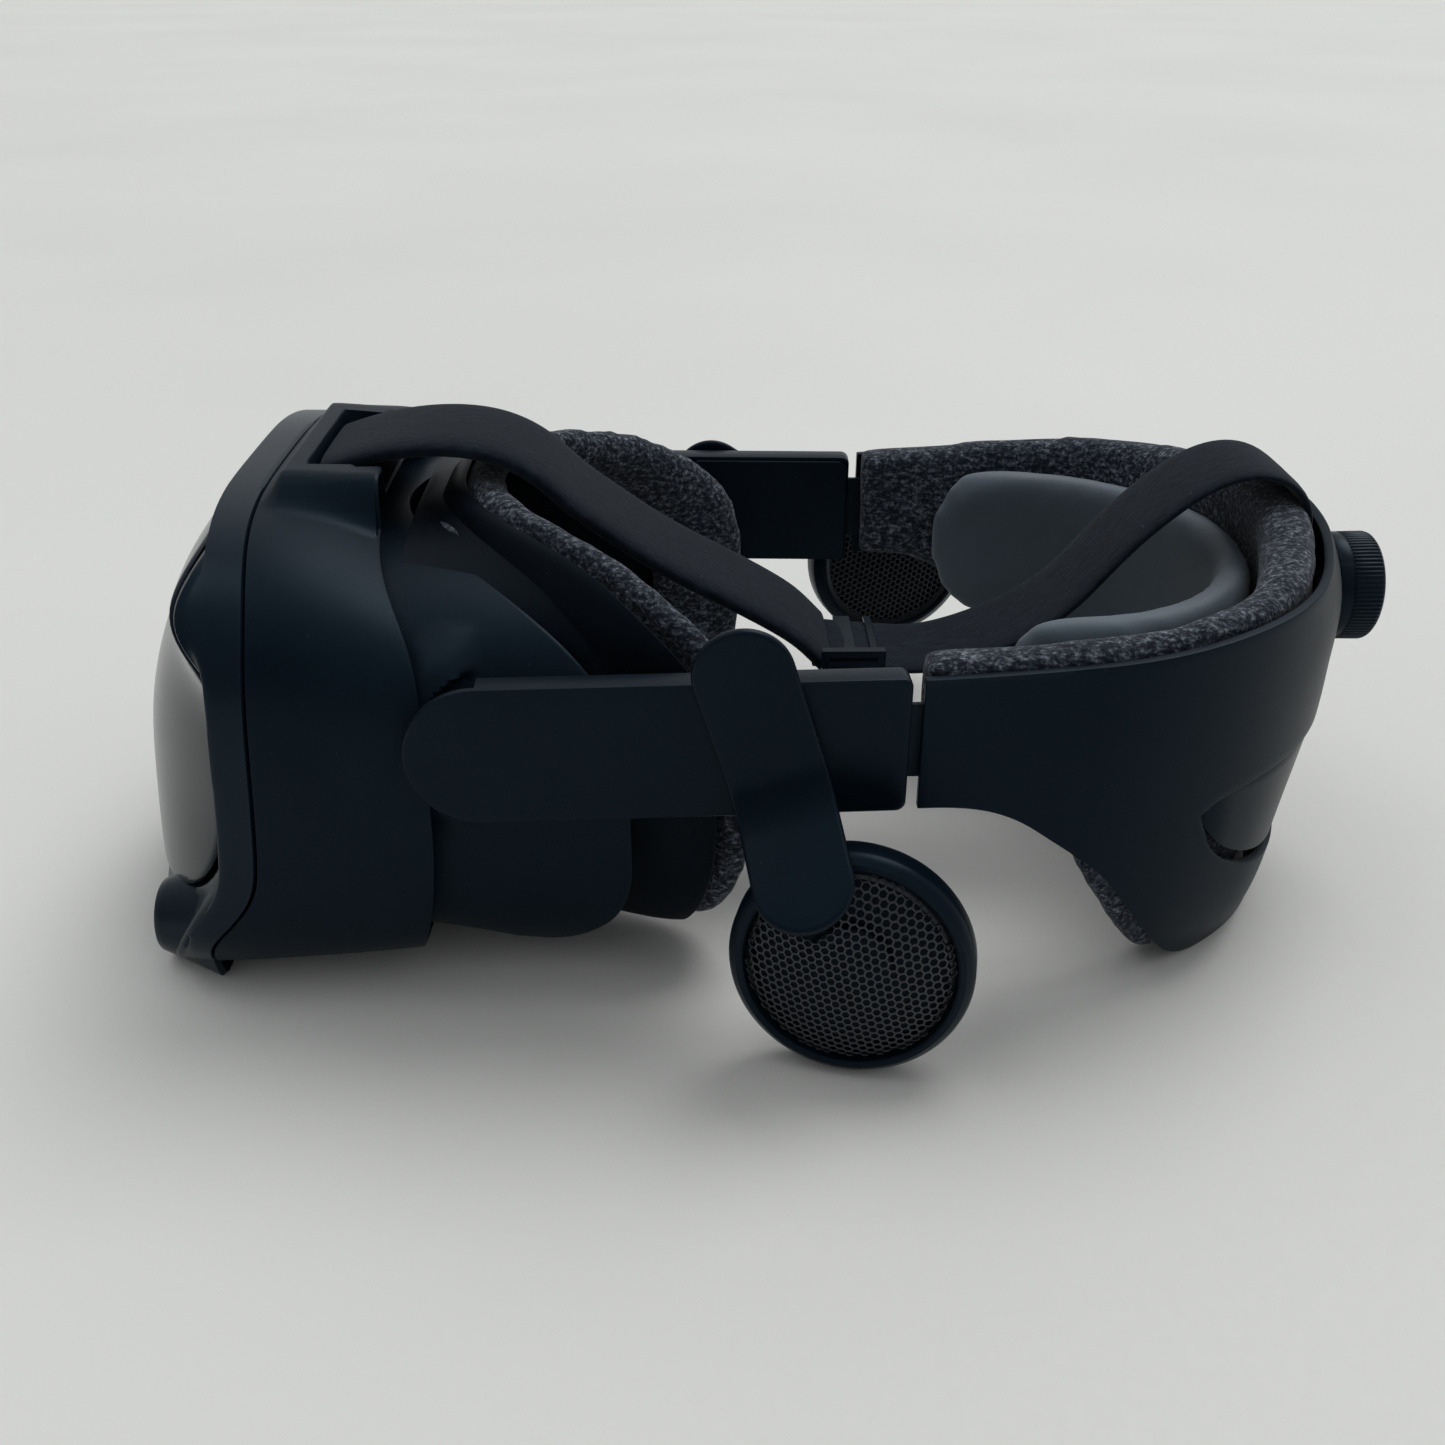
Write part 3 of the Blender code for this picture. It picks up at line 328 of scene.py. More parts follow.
def remap(n, value, a, b, c, d):
    r = n.nodes.new("ShaderNodeMapRange")
    for i, v in enumerate((a, b, c, d)):
        r.inputs[i + 1].default_value = v
    n.links.new(value, r.inputs[0])
    return r.outputs[0]


def math_node(n, op, a, b=None):
    m = n.nodes.new("ShaderNodeMath")
    m.operation = op
    for i, v in enumerate((a, b)):
        if v is None:
            continue
        if isinstance(v, (int, float)):
            m.inputs[i].default_value = v
        else:
            n.links.new(v, m.inputs[i])
    return m.outputs[0]


def mix(n, fac, a, b):
    m = n.nodes.new("ShaderNodeMix")
    m.data_type = "RGBA"
    for i, v in ((0, fac), (6, a), (7, b)):
        if isinstance(v, (int, float)):
            m.inputs[i].default_value = v
        elif isinstance(v, tuple):
            m.inputs[i].default_value = (*v, 1)
        else:
            n.links.new(v, m.inputs[i])
    return m.outputs[2]


def bump(n, bsdf, height, strength, distance):
    b = n.nodes.new("ShaderNodeBump")
    b.inputs["Strength"].default_value = strength
    b.inputs["Distance"].default_value = distance * MM
    n.links.new(height, b.inputs["Height"])
    previous = bsdf.inputs["Normal"].links
    if previous:
        n.links.new(previous[0].from_socket, b.inputs["Normal"])
    n.links.new(b.outputs[0], bsdf.inputs["Normal"])


def edges(n, low=0.53, high=0.62):
    g = n.nodes.new("ShaderNodeNewGeometry")
    return remap(n, g.outputs["Pointiness"], low, high, 0, 1)


def plastic(name, colour, roughness, grain=0.25, dust=0.35, wear=0.12, spec=0.5, coat=0.0):
    """Moulded plastic: fine grain, cloudy gloss, specks of dust, edges rubbed lighter."""
    m, n, bsdf, co = tree(name)
    cloud = noise(n, co, 22, 4)
    fine = noise(n, co, 5200, 2)
    specks = cells(n, co, 620)
    lighter = tuple(c * 1.35 + 0.002 for c in colour)
    base = mix(n, remap(n, cloud, 0.35, 0.7, 0, 1), colour, lighter)
    base = mix(n, math_node(n, "MULTIPLY", edges(n), wear), base, tuple(c * 3 + 0.03 for c in colour))
    mask = math_node(n, "MULTIPLY", remap(n, specks, 0.10, 0.03, 0, 1),
                     remap(n, noise(n, co, 95, 3), 0.60, 0.70, 0, 1))
    base = mix(n, math_node(n, "MULTIPLY", mask, dust), base, (0.34, 0.34, 0.34))
    n.links.new(base, bsdf.inputs["Base Color"])
    n.links.new(remap(n, cloud, 0.3, 0.75, roughness - 0.05, roughness + 0.07), bsdf.inputs["Roughness"])
    bsdf.inputs["Specular IOR Level"].default_value = spec
    bsdf.inputs["Specular Tint"].default_value = (0.55, 0.78, 1.0, 1)
    bsdf.inputs["Coat Weight"].default_value = coat
    bsdf.inputs["Coat Roughness"].default_value = 0.06
    bump(n, bsdf, fine, grain, 0.05)
    return m


def knit(name, dark, light, pitch=0.9, sheen=0.35):
    """Melange fabric: small knit loops with painted shade at their rims, dark and light fibres mixed, soft fuzz."""
    m, n, bsdf, co = tree(name)
    loops = cells(n, co, 1000 / pitch, stretch=(1, 1, 0.62))
    fibre = noise(n, co, 2600, 3, 0.7)
    flecks = noise(n, co, 860, 4, 0.75, (1, 0.55, 1))
    patch = noise(n, co, 60, 3)
    tone = ramp(n, flecks, ((0.44, dark), (0.53, tuple(a + b * 0.22 for a, b in zip(dark, light))),
                            (0.66, light)))
    # painted shade: each knit loop is darkened towards its rim, standing in for the shade between the loops
    tone = mix(n, remap(n, loops, 0.25, 0.75, 0.0, 0.55), tone, tuple(c * 0.35 for c in dark))
    tone = mix(n, remap(n, patch, 0.35, 0.7, 0.0, 0.35), tone, dark)
    n.links.new(tone, bsdf.inputs["Base Color"])
    n.links.new(remap(n, fibre, 0.3, 0.7, 0.82, 1.0), bsdf.inputs["Roughness"])
    bsdf.inputs["Sheen Weight"].default_value = sheen
    bsdf.inputs["Sheen Roughness"].default_value = 0.45
    bsdf.inputs["Specular IOR Level"].default_value = 0.2
    bump(n, bsdf, loops, 0.7, 0.35)
    bump(n, bsdf, flecks, 0.55, 0.5)
    bump(n, bsdf, fibre, 0.4, 0.12)
    return m


def felt(name, dark, light):
    """Brushed webbing: matted fibres running along it, lint, a soft sheen."""
    m, n, bsdf, co = tree(name)
    along = noise(n, co, 900, 4, 0.75, (1.0, 0.3, 0.3))
    matt = noise(n, co, 160, 4, 0.7)
    lint = cells(n, co, 330)
    tone = ramp(n, along, ((0.35, dark), (0.70, light)))
    tone = mix(n, remap(n, matt, 0.4, 0.75, 0, 0.45), tone, dark)
    mask = math_node(n, "MULTIPLY", remap(n, lint, 0.09, 0.03, 0, 0.5), remap(n, matt, 0.52, 0.6, 0, 1))
    tone = mix(n, mask, tone, (0.25, 0.25, 0.27))
    n.links.new(tone, bsdf.inputs["Base Color"])
    bsdf.inputs["Roughness"].default_value = 0.95
    bsdf.inputs["Sheen Weight"].default_value = 0.07
    bsdf.inputs["Sheen Roughness"].default_value = 0.5
    bsdf.inputs["Specular IOR Level"].default_value = 0.15
    bump(n, bsdf, along, 0.7, 0.25)
    bump(n, bsdf, matt, 0.35, 0.5)
    return m


def foam_skin(name, colour):
    m, n, bsdf, co = tree(name)
    pores = cells(n, co, 1500)
    cloud = noise(n, co, 30, 4)
    base = mix(n, remap(n, cloud, 0.35, 0.7, 0, 1), colour, tuple(c * 1.4 for c in colour))
    n.links.new(base, bsdf.inputs["Base Color"])
    n.links.new(remap(n, cloud, 0.3, 0.7, 0.52, 0.66), bsdf.inputs["Roughness"])
    bsdf.inputs["Sheen Weight"].default_value = 0.12
    bump(n, bsdf, pores, 0.25, 0.1)
    bump(n, bsdf, noise(n, co, 240, 3), 0.2, 0.3)
    return m


def metal(name, colour, roughness, dark=False):
    m, n, bsdf, co = tree(name)
    brush = noise(n, co, 1400, 3, 0.6, (1, 1, 0.12))
    base = mix(n, remap(n, brush, 0.3, 0.7, 0, 1), colour, tuple(c * 1.3 for c in colour))
    n.links.new(base, bsdf.inputs["Base Color"])
    bsdf.inputs["Metallic"].default_value = 0.75 if dark else 1.0
    n.links.new(remap(n, brush, 0.3, 0.7, roughness - 0.05, roughness + 0.1), bsdf.inputs["Roughness"])
    bump(n, bsdf, brush, 0.15, 0.03)
    return m


def glass(name, colour):
    m, n, bsdf, co = tree(name)
    smudge = noise(n, co, 70, 5, 0.6)
    base = mix(n, remap(n, smudge, 0.4, 0.7, 0, 1), colour, tuple(c * 1.5 for c in colour))
    n.links.new(base, bsdf.inputs["Base Color"])
    n.links.new(remap(n, smudge, 0.35, 0.75, 0.02, 0.12), bsdf.inputs["Roughness"])
    bsdf.inputs["Coat Weight"].default_value = 1.0
    bsdf.inputs["Coat Roughness"].default_value = 0.02
    return m


def board_material(name):
    m, n, bsdf, co = tree(name)
    tracks = cells(n, co, 240, "DISTANCE_TO_EDGE")
    base = ramp(n, tracks, ((0.02, (0.03, 0.16, 0.08)), (0.06, (0.006, 0.05, 0.025))))
    n.links.new(base, bsdf.inputs["Base Color"])
    n.links.new(remap(n, noise(n, co, 90), 0.3, 0.7, 0.35, 0.6), bsdf.inputs["Roughness"])
    bump(n, bsdf, tracks, 0.2, 0.1)
    return m


SHELL = plastic("shell_plastic", (0.0012, 0.0050, 0.0098), 0.42, spec=0.14)
BEZEL = plastic("bezel_plastic", (0.0024, 0.0066, 0.0122), 0.30, 0.12, 0.25, spec=0.2)
PLATE = plastic("plate_gloss", (0.0025, 0.0045, 0.0070), 0.17, 0.02, 0.25, 0.05, spec=0.2, coat=0.05)
SATIN = plastic("arm_plastic", (0.0009, 0.0040, 0.0082), 0.33, 0.14, 0.30, 0.25, spec=0.15)
INNER = plastic("inner_plastic", (0.0020, 0.0045, 0.0080), 0.55, spec=0.3)
CARRIER = plastic("carrier_plastic", (0.0008, 0.0020, 0.0042), 0.50, spec=0.12)
FABRIC = knit("melange_knit", (0.0100, 0.0155, 0.0265), (0.310, 0.345, 0.410), sheen=0.12)
FELT = felt("strap_felt", (0.0010, 0.0032, 0.0075), (0.0085, 0.0155, 0.0265))
FOAM = foam_skin("cradle_skin", (0.058, 0.080, 0.102))
MESH = metal("grille_metal", (0.045, 0.048, 0.056), 0.33, True)
METAL = metal("pin_metal", (0.42, 0.43, 0.45), 0.28)
GLASS = glass("lens_glass", (0.022, 0.027, 0.036))
BOARD = board_material("board")

FINISH = {
    "metal": METAL, "glass": GLASS, "board": BOARD, "inner": INNER, "satin": SATIN, "shell": SHELL,
}
CAD_FINISHES = {
    "pivot_pin": "metal", "ear_pivot": "metal", "rail": "metal", "pinion": "metal", "usb_port": "metal",
    "display_panel": "glass", "lens_barrel": "inner", "lens": "glass", "board": "board",
    "camera": "glass", "chassis": "inner", "socket": "inner", "driver": "inner", "bridge": "satin",
    "tray": "satin", "button": "satin", "slider": "satin", "relief_knob": "satin", "rack": "inner",
    "band": "inner", "hub": "inner",
}


def dress_cad():
    """A finish on every node that stays as the CAD made it."""
    for name, node in NODES.items():
        kind = next((k for part, k in CAD_FINISHES.items() if part in name), "shell")
        for slot in node.material_slots:
            slot.material = FINISH[kind]


# ---- visor -------------------------------------------------------------------------

plate_centre = lerp(((12, -169.6), (35, -168.4), (58, -165.2), (75, -159.3), (90, -151.5),
                     (100, -145), (110, -137), (118, -128)))
plate_sag = lerp(((12, 29.5), (20, 30), (46, 35), (67, 33), (87, 24), (102, 9), (118, 8)))
seam_y = lerp(((0, -138), (18, -136), (24, -131), (32, -125), (45, -121.5), (66, -119.5),
               (92, -118), (112, -120), (118, -122.5)))
rear_y = lerp(((0, -88), (4, -88), (20, -84), (45, -80), (80, -80), (97, -84), (111, -95), (118, -100)))


def plate_y(x, z):
    return plate_centre(z) + np.maximum(plate_sag(z), 6) * (x / 72) ** 2


def chin_y(x):
    return -168.5 + 14 * (x / 60) ** 2


def plate_ring(scale, back=0.0):
    return [(x * scale, plate_y(x * scale, 65 + (z - 65) * scale) + back, 65 + (z - 65) * scale)
            for x, z in oval(72, 16, 114, 4, 4)]


def front_plate():
    rows = [plate_ring(0.975, 1.8), plate_ring(0.992, 1.7), plate_ring(1.0, 1.0), plate_ring(1.0, 0.35),
            plate_ring(0.996, 0.06)]
    rows += [plate_ring(s) for s in np.linspace(0.985, 0.03, 26)]
    points, faces = grid(rows, wrap=True)
    n = len(rows[0])
    faces.append(tuple(range(len(points) - n, len(points))))
    make("front_plate_gloss", points, faces, PLATE, "front_plate", ("front_plate",), sharp=60)


def bezel_ring(hw, bottom, top, back):
    ring = []
    for x, z in oval(hw, bottom, top, 3.6, 5.0):
        low = float(ease(20, 12, z))
        upper = plate_y(x * 0.95, min(z, 116)) + back
        ring.append((x, upper * (1 - low) + chin_y(x) * low, z))
    return ring


def front_bezel():
    inner = [(x, y + 4.6, z) for x, y, z in plate_ring(1.006)]
    lip = [(x, y + 1.9, z) for x, y, z in plate_ring(1.012)]
    rim = [(x, y + 1.2, z) for x, y, z in plate_ring(1.028)]
    edge = [(x, y + 1.5, z) for x, y, z in plate_ring(1.045)]
    shoulder = bezel_ring(77.3, 0.3, 117.6, 4.0)
    middle = [(x, (seam_y(z) + chin_y(x * .9)) / 2 if z < 20 else seam_y(z) - 9, z)
              for x, z in oval(79.6, -0.6, 118.4, 3.3, 5.0)]
    seam = [(x, seam_y(z) - 0.5, z) for x, z in oval(81, -0.6, 118, 3.3)]
    turn = [(x * .993, y + .45, 59 + (z - 59) * .99) for x, y, z in seam]
    deep = [(x * .975, y + .45, max(59 + (z - 59) * .965, 1.2)) for x, y, z in seam]
    rows = [inner, lip, rim] + between([edge, shoulder, middle, seam], 8) + [turn, deep]
    points, faces = grid(rows, wrap=True)
    points = [(x, y, max(z, 0.0)) for x, y, z in points]
    make("front_bezel_ring", points, faces, BEZEL, "visor", ("front_bezel",), sharp=50)


def cameras():
    """A window with a thin ring in a flared boss, at each side of the chin."""
    for side, label in ((1, "left"), (-1, "right")):
        profile = [(9.0, -4), (9.0, 0.5), (9.3, 0.7), (9.6, 0.4), (10.4, -1.5), (11.8, -5), (14.5, -11),
                   (17, -16), (15.5, -17)]
        boss = turned(f"{label}_camera_boss", profile,
                      place_on((side * CAMERA_X, -156, CAMERA_Z), (0, -1, 0)), BEZEL, "visor")
        co = places(boss)
        co[:, 2] = np.maximum(co[:, 2], 0.0003)
        put(boss, co)
        place = place_on((side * CAMERA_X, -153.4, CAMERA_Z), (0, -1, 0))
        turned(f"{label}_camera_window", [(0, 3.4), (3, 3.25), (5.6, 2.7), (7.6, 1.9), (7.7, 1.5), (7.7, -4)],
               place, GLASS, "visor", (f"{label}_camera",))
        turned(f"{label}_camera_ring", [(7.8, -4), (7.8, 1.9), (8.0, 2.2), (8.6, 2.0), (8.8, 1.4), (8.8, -4)],
               place, BEZEL, "visor")


def cut(item, cutter):
    """A boolean applied at once, and the cutter removed."""
    step = item.modifiers.new("cut", "BOOLEAN")
    step.operation, step.solver, step.object = "DIFFERENCE", "EXACT", cutter
    bake(item)
    bpy.data.objects.remove(cutter)


def shell_height(x, y):
    """Height of the strap bump above the plain top of the shell."""
    side = ease(38, 28, abs(x))
    front = ease(-122, -116.5, y)
    top = 122.5 - 0.055 * max(y + 114.6, 0)
    return top, float(side * front)


def shell_section(y_share):
    """One section of the main shell between its seam and its rear edge."""
    seam = oval(81, -0.6, 118, 3.3, 5.0, 260)
    middle = oval(81.6, 1.4, 115.6, 3.2, 5.0, 260)
    rear = oval(81, 4, 111, 3.0, 5.0, 260)
    row = []
    for (xa, za), (xb, zb), (xc, zc) in zip(seam, middle, rear):
        t = y_share
        x = xa * (1 - t) * (1 - 2 * t) + 4 * xb * t * (1 - t) + xc * t * (2 * t - 1)
        z = za * (1 - t) * (1 - 2 * t) + 4 * zb * t * (1 - t) + zc * t * (2 * t - 1)
        ya, yc = seam_y(za) + 0.5, rear_y(zc)
        y = ya + (yc - ya) * t
        if z > 100 and abs(x) < 42 and y < -94:
            top, share = shell_height(x, y)
            z += max(top - z, 0) * share
            recess = float(ease(21.6, 20.2, abs(x)) * ease(-112.8, -111.2, y))
            z += (114.2 - z) * recess
        row.append((x, y, max(z, 0)))
    return row


def main_shell():
    shares = np.union1d(np.linspace(0, 1, 30), np.linspace(0, 1, 90))
    rows = [shell_section(t) for t in shares]
    rear = rows[-1]
    lip = [(x * .998, y + .5, 58 + (z - 58) * .995) for x, y, z in rear]
    back = [(x * .985, y + .5, 58 + (z - 58) * .985) for x, y, z in rear]
    deep = [(x * .955, y - 7, 58 + (z - 58) * .955) for x, y, z in rear]
    front = [(x * .985, y + .1, max(59 + (z - 59) * .97, 1.0)) for x, y, z in rows[0]]
    points, faces = grid([front] + rows + [lip, back, deep], wrap=True)
    make("main_shell_cover", points, faces, SHELL, "visor", ("main_shell",), sharp=38)


# ---- carriage and gasket -----------------------------------------------------------

foot_drop = lerp(((0, 34), (4, 25), (8, 14), (14, 6), (24, 1), (40, 0), (60, 0), (110, 0)))


def carriage_rear(x, z):
    return np.maximum(-92 + 61 * (np.minimum(np.abs(x), 76) / 76) ** 1.84 - foot_drop(z), -93)


def pivot_ridge(y, z):
    """A raised ring on the carriage just outside the arm's round tip."""
    r = math.hypot(y - PIVOT[0], z - PIVOT[1])
    lean = math.degrees(math.atan2(abs(z - PIVOT[1]), PIVOT[0] - y)) if r > 1 else 0
    return 4.2 * float(ease(27, 19, r) * ease(13.8, 15.4, r) * ease(92, 56, lean))


def carriage_row(t, inset=0.0):
    row = []
    hw, bottom, top = 74.8 + 0.2 * t, 8.8 - 2.0 * t * t, 106.4 + 0.8 * t * (1 - t) - 0.6 * t * t
    for x, z in oval(hw - inset, bottom + inset, top - inset, 3.0, 5.0, 300):
        y = -103.5 + (float(carriage_rear(x, z)) + 103.5) * t
        if not inset and abs(x) > 60:
            x += math.copysign(pivot_ridge(y, z), x)
        low = max(0.0, min(1.0, (30 - z) / 23))
        z -= 5.5 * low * max(0.0, min(1.0, (y + 86) / 22))
        row.append((x, y, max(z, 1.2)))
    return row


def nose_notch(points, faces):
    """Leaves out the faces over the nose."""
    def over(i):
        x, y, z = points[i]
        return y > -96.5 and z < 22 and abs(x) < 24 - max(z, 0) * 0.5
    return [f for f in faces if not all(over(i) for i in f)]


def carriage():
    rows = [carriage_row(t) for t in np.linspace(0, 0.985, 60)]
    rows += [carriage_row(t, inset) for t, inset in ((1.0, 0.25), (1.0, 0.9), (0.985, 1.7), (0.6, 2.0))]
    points, faces = grid(rows, wrap=True)
    faces = nose_notch(points, faces)
    make("carriage_cover", points, faces, SHELL, "carriage", ("carriage_frame",), sharp=40)


rim_table = lerp(((-96, -74), (-80, -62), (-72, -46), (-66, -34), (-58, -25), (-45, -21), (-30, -18),
                  (-8, -13.4), (10, -13.4), (22, -19.5), (38, -32), (52, -43.5), (68, -61.5),
                  (82, -74), (90, -76.5), (98, -74)))


def gasket_power(up):
    return 2 / 3 if up else 2 / 5


def gasket_point(angle, hw, bottom, top):
    """The gasket's section, squarer below than above."""
    c, s = math.cos(angle), math.sin(angle)
    mid, power = (bottom + top) / 2, gasket_power(s > 0)
    return hw * math.copysign(abs(c) ** power, c), mid + (top - mid) * math.copysign(abs(s) ** power, s)


def gasket_rim(angle):
    turn = math.degrees(angle)
    return float(rim_table(min(turn, 180 - turn)))


def gasket_turn(x, z):
    """The angle on the section that a place belongs to."""
    lift = (z - 60) / 56
    power = gasket_power(lift > 0)
    return math.atan2(math.copysign(abs(lift) ** (1 / power), lift), abs(x / 67) ** (1 / power))


def even_angles(low, high, count):
    return np.radians(np.linspace(low, high, count))


def smoothed(values, passes=6):
    v = np.array(values, float)
    for _ in range(passes):
        v[1:-1] = (v[:-2] + 2 * v[1:-1] + v[2:]) / 4
    return v


def gasket_frame():
    angles = even_angles(-80, 260, 220)
    rims = smoothed([gasket_rim(a) for a in angles], 6)
    rows = []
    for a, rim in zip(angles, rims):
        row = []
        x, z = gasket_point(a, *SMALL_GASKET)
        middle = min(max(float(carriage_rear(x * 1.1, z)) + 2.6, GASKET_FRONT_Y + 1), rim - 4)
        for t in np.linspace(0, 1, 5):
            row.append((x, GASKET_FRONT_Y + (middle - GASKET_FRONT_Y) * t, z))
        xr, zr = gasket_point(a, *LARGE_GASKET)
        for t in np.linspace(0.12, 1, 12):
            s = math.sin(t * math.pi / 2) ** 1.2
            row.append((x + (xr - x) * s, middle + (rim - middle) * t, z + (zr - z) * s))
        row.append((xr * .997, rim + .25, 59 + (zr - 59) * .997))
        for inset, y in ((1.2, rim + .25), (2.2, rim), (2.4, rim - 3), (5.0, middle), (5.0, GASKET_FRONT_Y)):
            xi, zi = gasket_point(a, 70.5 - inset, 4.5 + inset, 114 - inset * 1.2)
            row.append((xi, y, zi))
        rows.append(row)
    points, faces = grid(rows, wrap=True, caps=True)
    make("gasket_carrier", points, faces, CARRIER, "gasket", ("gasket_frame",), sharp=40)


PAD_SECTION = ((0.3, 0.9), (0.0, 4.5), (0.6, 8.6), (2.6, 10.4), (5.4, 10.4), (8.0, 8.4), (9.8, 4),
               (11.2, -2), (12.2, -9), (12.2, -16), (11.0, -19.4), (9.0, -19.6), (7.8, -16),
               (7.2, -10), (6.6, -5), (5.8, 0.2), (3, 0.9))


def gasket_pad():
    angles = even_angles(-79.5, 259.5, 130)
    rims = smoothed([gasket_rim(a) for a in angles], 6)
    rows = []
    for a, rim in zip(angles, rims):
        row = []
        apron = min(20.0, rim + 85)
        for inset, y in PAD_SECTION:
            y = y * apron / 20 if y < 0 else y
            x, z = gasket_point(a, 67.6 - inset, 4.0 + inset, 116.4 - inset)
            row.append((x, rim + y, z))
        rows.append(row)
    points, faces = grid(rows, wrap=True, caps=True)
    item = raw("gasket_cushion", points, faces)
    puff(item, 2.6, 0.9, 0.5, lambda x, y, z: y < gasket_rim(gasket_turn(x, z)) + 3.2)
    settle(item, FABRIC, "gasket", ("gasket_pad",), sharp=0)


# ---- headband arms ------------------------------------------------------------------

def arm_world(side, length, height, out):
    c, s = math.cos(TAPER), math.sin(TAPER)
    return side * (80 + out * c - length * s), 32 + out * s + length * c, PIVOT[1] + height


def arm_loop(inset):
    """The arm's outline, round at the pivot, small round corners at the rear."""
    half, corner = 17.4 - inset, 2.4
    loop = []
    for k in range(9):
        a = math.radians(90 * k / 8)
        loop.append((-inset - corner + corner * math.cos(a), half - corner + corner * math.sin(a)))
    for x in np.linspace(-8, -90, 22):
        loop.append((float(x), half))
    for k in range(49):
        a = math.pi / 2 + math.pi * k / 48
        loop.append((-98 + half * math.cos(a), half * math.sin(a)))
    for x in np.linspace(-90, -8, 22):
        loop.append((float(x), -half))
    for k in range(9):
        a = math.radians(270 + 90 * k / 8)
        loop.append((-inset - corner + corner * math.cos(a), -half + corner + corner * math.sin(a)))
    return loop


def arms():
    layers = ((3.0, -7), (0.7, -7), (0.15, -6.75), (0, -6.2), (0, -1.0), (0.12, -0.45), (0.5, -0.1),
              (1.1, 0.0), (4.0, 0.0))
    for side, label in ((1, "left"), (-1, "right")):
        rows = [[arm_world(side, l, h, out) for l, h in arm_loop(inset)] for inset, out in layers]
        points, faces = grid(rows, wrap=True, caps=True)
        arm = raw(f"{label}_arm_cover", points, faces)
        low, high = sorted((side * 70, side * 82.2))
        fan = [(13.6, k) for k in range(13)] + [(26, k) for k in range(12, -1, -1)]
        notch = []
        for x in (low, high):
            notch.append([(x, PIVOT[0] + r * math.cos(math.pi / 2 + math.pi * k / 12),
                           PIVOT[1] + r * math.sin(math.pi / 2 + math.pi * k / 12)) for r, k in fan])
        points, faces = grid(notch, wrap=True, caps=True)
        cut(arm, raw("notch", points, faces))
        settle(arm, SATIN, "headband", (f"{label}_arm",), sharp=28)
        for at in ((-9, 12.4), (-9, -12.4)):
            screw(f"{label}_arm_screw_{'low' if at[1] < 0 else 'high'}", side, at)


def screw(name, side, at):
    """A small countersunk head on the inner face of the arm."""
    place = place_on(arm_world(side, at[0], at[1], -7.0), (-side, 0, 0))
    turned(name, [(0, 0.1), (0.8, 0.1), (1.0, 0.32), (1.9, 0.3), (2.2, 0.05), (2.2, -0.4)],
           place, METAL, "headband", steps=28)


# ---- ear arms and speakers ------------------------------------------------------------

def ear_shift(side):
    """Ear pieces are drawn on the left, then mirrored and swung to the right."""
    if side > 0:
        return Matrix.Identity(4)
    pivot = Vector((0, 0, PIVOT[1]))
    turn = Matrix.Translation(pivot) @ Matrix.Rotation(math.radians(40), 4, "X") @ Matrix.Translation(-pivot)
    slide = Matrix.Translation(ear_point(8, 0, 0) - ear_point(0, 0, 0))
    return Matrix.Scale(-1, 4, (1, 0, 0)) @ turn @ slide


def ear_point(down, across, x):
    c, s = math.cos(EAR_TILT), math.sin(EAR_TILT)
    return Vector((x, down * s + across * c, PIVOT[1] - down * c + across * s))


def ear_path():
    """Down and X of the arm's inner face at each 0.5 mm, and the angle of its flare."""
    flare = [math.atan2(4.4, 8.5), math.atan2(24.6, 16.3)]
    down, x, out = -33.7, 84.2, []
    total = 37.7 + math.hypot(8.5, 4.4) + math.hypot(16.3, 24.6)
    count = int(total / 0.5)
    for k in range(count + 1):
        l = total * k / count
        angle = flare[0] * float(ease(31, 44, l)) + (flare[1] - flare[0]) * float(ease(40, 53, l))
        out.append((l, down, x, angle))
        down += math.cos(angle) * total / count
        x += math.sin(angle) * total / count
    return np.array(out)


PATH = ear_path()


def on_ear_arm(length, across, height):
    down, x, angle = (float(np.interp(length, PATH[:, 0], PATH[:, k])) for k in (1, 2, 3))
    normal = Vector((math.cos(angle), -math.sin(angle) * math.sin(EAR_TILT),
                     math.sin(angle) * math.cos(EAR_TILT)))
    return ear_point(down, across, x) + normal * height


def stadium(radius, length, inset):
    """Outline of the plate, each point at its own share of the spine."""
    loop = []
    first, last = radius, length - radius
    for k in range(33):
        a = math.pi * k / 32
        loop.append((last + (radius - inset) * math.sin(a), (radius - inset) * math.cos(a)))
    for l in np.linspace(last, first, 60)[1:-1]:
        loop.append((float(l), -(radius - inset)))
    for k in range(33):
        a = math.pi + math.pi * k / 32
        loop.append((first + (radius - inset) * math.sin(a), (radius - inset) * math.cos(a)))
    for l in np.linspace(first, last, 60)[1:-1]:
        loop.append((float(l), radius - inset))
    return loop


def ear_arm(side, label):
    total = float(PATH[-1, 0])
    profile = ((11.6, 0), (6, 0), (1.3, 0), (.5, .12), (.1, .5), (0, 1.1), (.1, 1.75), (.42, 2.18),
               (.95, 2.38), (1.7, 2.36), (2.4, 2.40), (6, 2.5), (11.6, 2.55))
    rows = []
    for inset, height in profile:
        rows.append([ear_shift(side) @ on_ear_arm(l, a, height) for l, a in stadium(11.6, total, inset)])
    points, faces = grid(rows, wrap=True, caps=True)
    body = f"{label}_ear_arm"
    make(f"{label}_ear_arm_plate", points, faces, SATIN, body, (f"{label}_ear_arm",), sharp=60)


def speaker_frame():
    yaw, tilt = math.radians(-12.5), math.radians(7.5)
    axis = Vector((math.cos(tilt) * math.cos(yaw), math.cos(tilt) * math.sin(yaw), math.sin(tilt)))
    return place_on(SPEAKER, axis)


